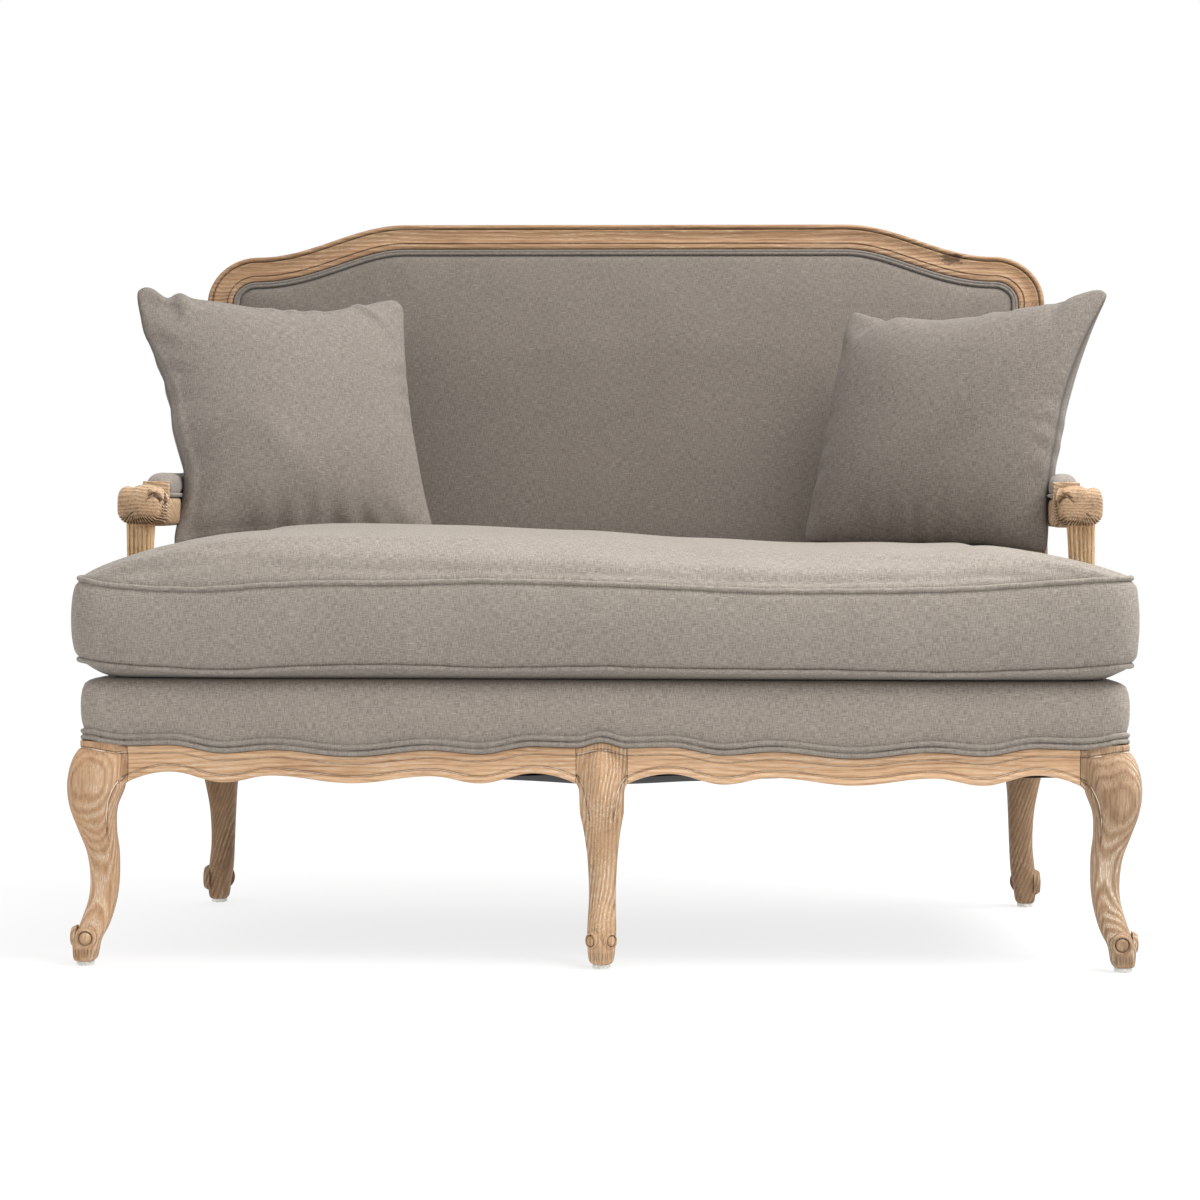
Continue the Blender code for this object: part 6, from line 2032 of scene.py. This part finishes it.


# Side, and its form from waist to bend; where the pillow stands and its turn; colours of its linen, painted
# darker than the seat's as painted shade, the right pillow the most
pillows = (
    (
        "left",
        (-1, 0.014, 0.014, 0.023, (0.62, 1.6), left_top, 0.018, 0.003),
        ((-0.462, 0.052, 0.7225), 25),
        ((134, 126, 118), (104, 97, 90), (160, 151, 141)),
    ),
    (
        "right",
        (1, 0.006, 0.004, 0.036, (1.0, 1.8), right_top, 0.0165, 0.016),
        ((0.466, 0.050, 0.7133), -30),
        ((126, 118, 110), (96, 89, 82), (152, 143, 133)),
    ),
)
for name, form, (place, turn), shaded_colours in pillows:
    side = form[0]
    pillow = pillow_cover(f"throw_pillow_linen_{name}", *form)
    leaning = Matrix.Rotation(math.radians(turn), 3, "Z") @ Matrix.Rotation(math.radians(-22), 3, "X")
    pillow.data.transform(Matrix.Translation(place) @ leaning.to_4x4())
    cloth_map(pillow, leaning, (0.31 * side, 0.17))
    pillow.data.materials.append(linen(f"linen_pillow_{name}", *shaded_colours, 0.45))
    put_in(pillow, f"throw_pillow_{name}", "linen", f"throw_pillow_{name}", crease=80)

# ---------------------------------------------------------------------------
# Studio: a white sweep of floor, an even white surround, a large soft light
# overhead, and a long lens a little right of the middle at cushion height.

bpy.ops.object.select_all(action="DESELECT")
bpy.ops.mesh.primitive_plane_add(size=400, location=(0, 0, -0.0006))
floor = bpy.context.object
floor.name = "studio_floor"
floor_white, tree, shader = blank("floor_white")
white = (1, 1, 1, 1)
shader.inputs["Base Color"].default_value = (0.235, 0.235, 0.235, 1)
shader.inputs["Roughness"].default_value = 0.9
shader.inputs["Specular IOR Level"].default_value = 0.0
shader.inputs["Emission Color"].default_value = white
shader.inputs["Emission Strength"].default_value = 0.765
floor.data.materials.append(floor_white)

world = bpy.data.worlds.new("studio")
bpy.context.scene.world = world
world.use_nodes = True
surround = world.node_tree.nodes["Background"]
surround.inputs["Color"].default_value = white
surround.inputs["Strength"].default_value = 1.0


def soft_light(name, size, energy, place, aim):
    """A large rectangular light turned to a point."""
    data = bpy.data.lights.new(name, "AREA")
    data.shape = "RECTANGLE"
    data.size, data.size_y = size
    data.energy = energy
    lamp = bpy.data.objects.new(name, data)
    bpy.context.scene.collection.objects.link(lamp)
    lamp.location = place
    lamp.rotation_euler = (Vector(aim) - Vector(place)).to_track_quat("-Z", "Y").to_euler()


soft_light("overhead", (2.6, 2.0), 132, (1.6, -0.6, 2.9), (0, 0, 0.4))

lens_pixels = 2924
frame_pixels = 1200
sensor_width = 36
camera_data = bpy.data.cameras.new("camera")
camera_data.sensor_width = sensor_width
camera_data.lens = sensor_width * lens_pixels / frame_pixels
camera_data.shift_x = -(643.1 - frame_pixels / 2) / frame_pixels
camera_data.shift_y = -(frame_pixels / 2 - 500.3) / frame_pixels
camera = bpy.data.objects.new("camera", camera_data)
camera.location = (0.176, -4.105, 0.599)
camera.rotation_euler = (math.radians(90), math.radians(-0.09), math.radians(1.89))
bpy.context.scene.collection.objects.link(camera)
bpy.context.scene.camera = camera
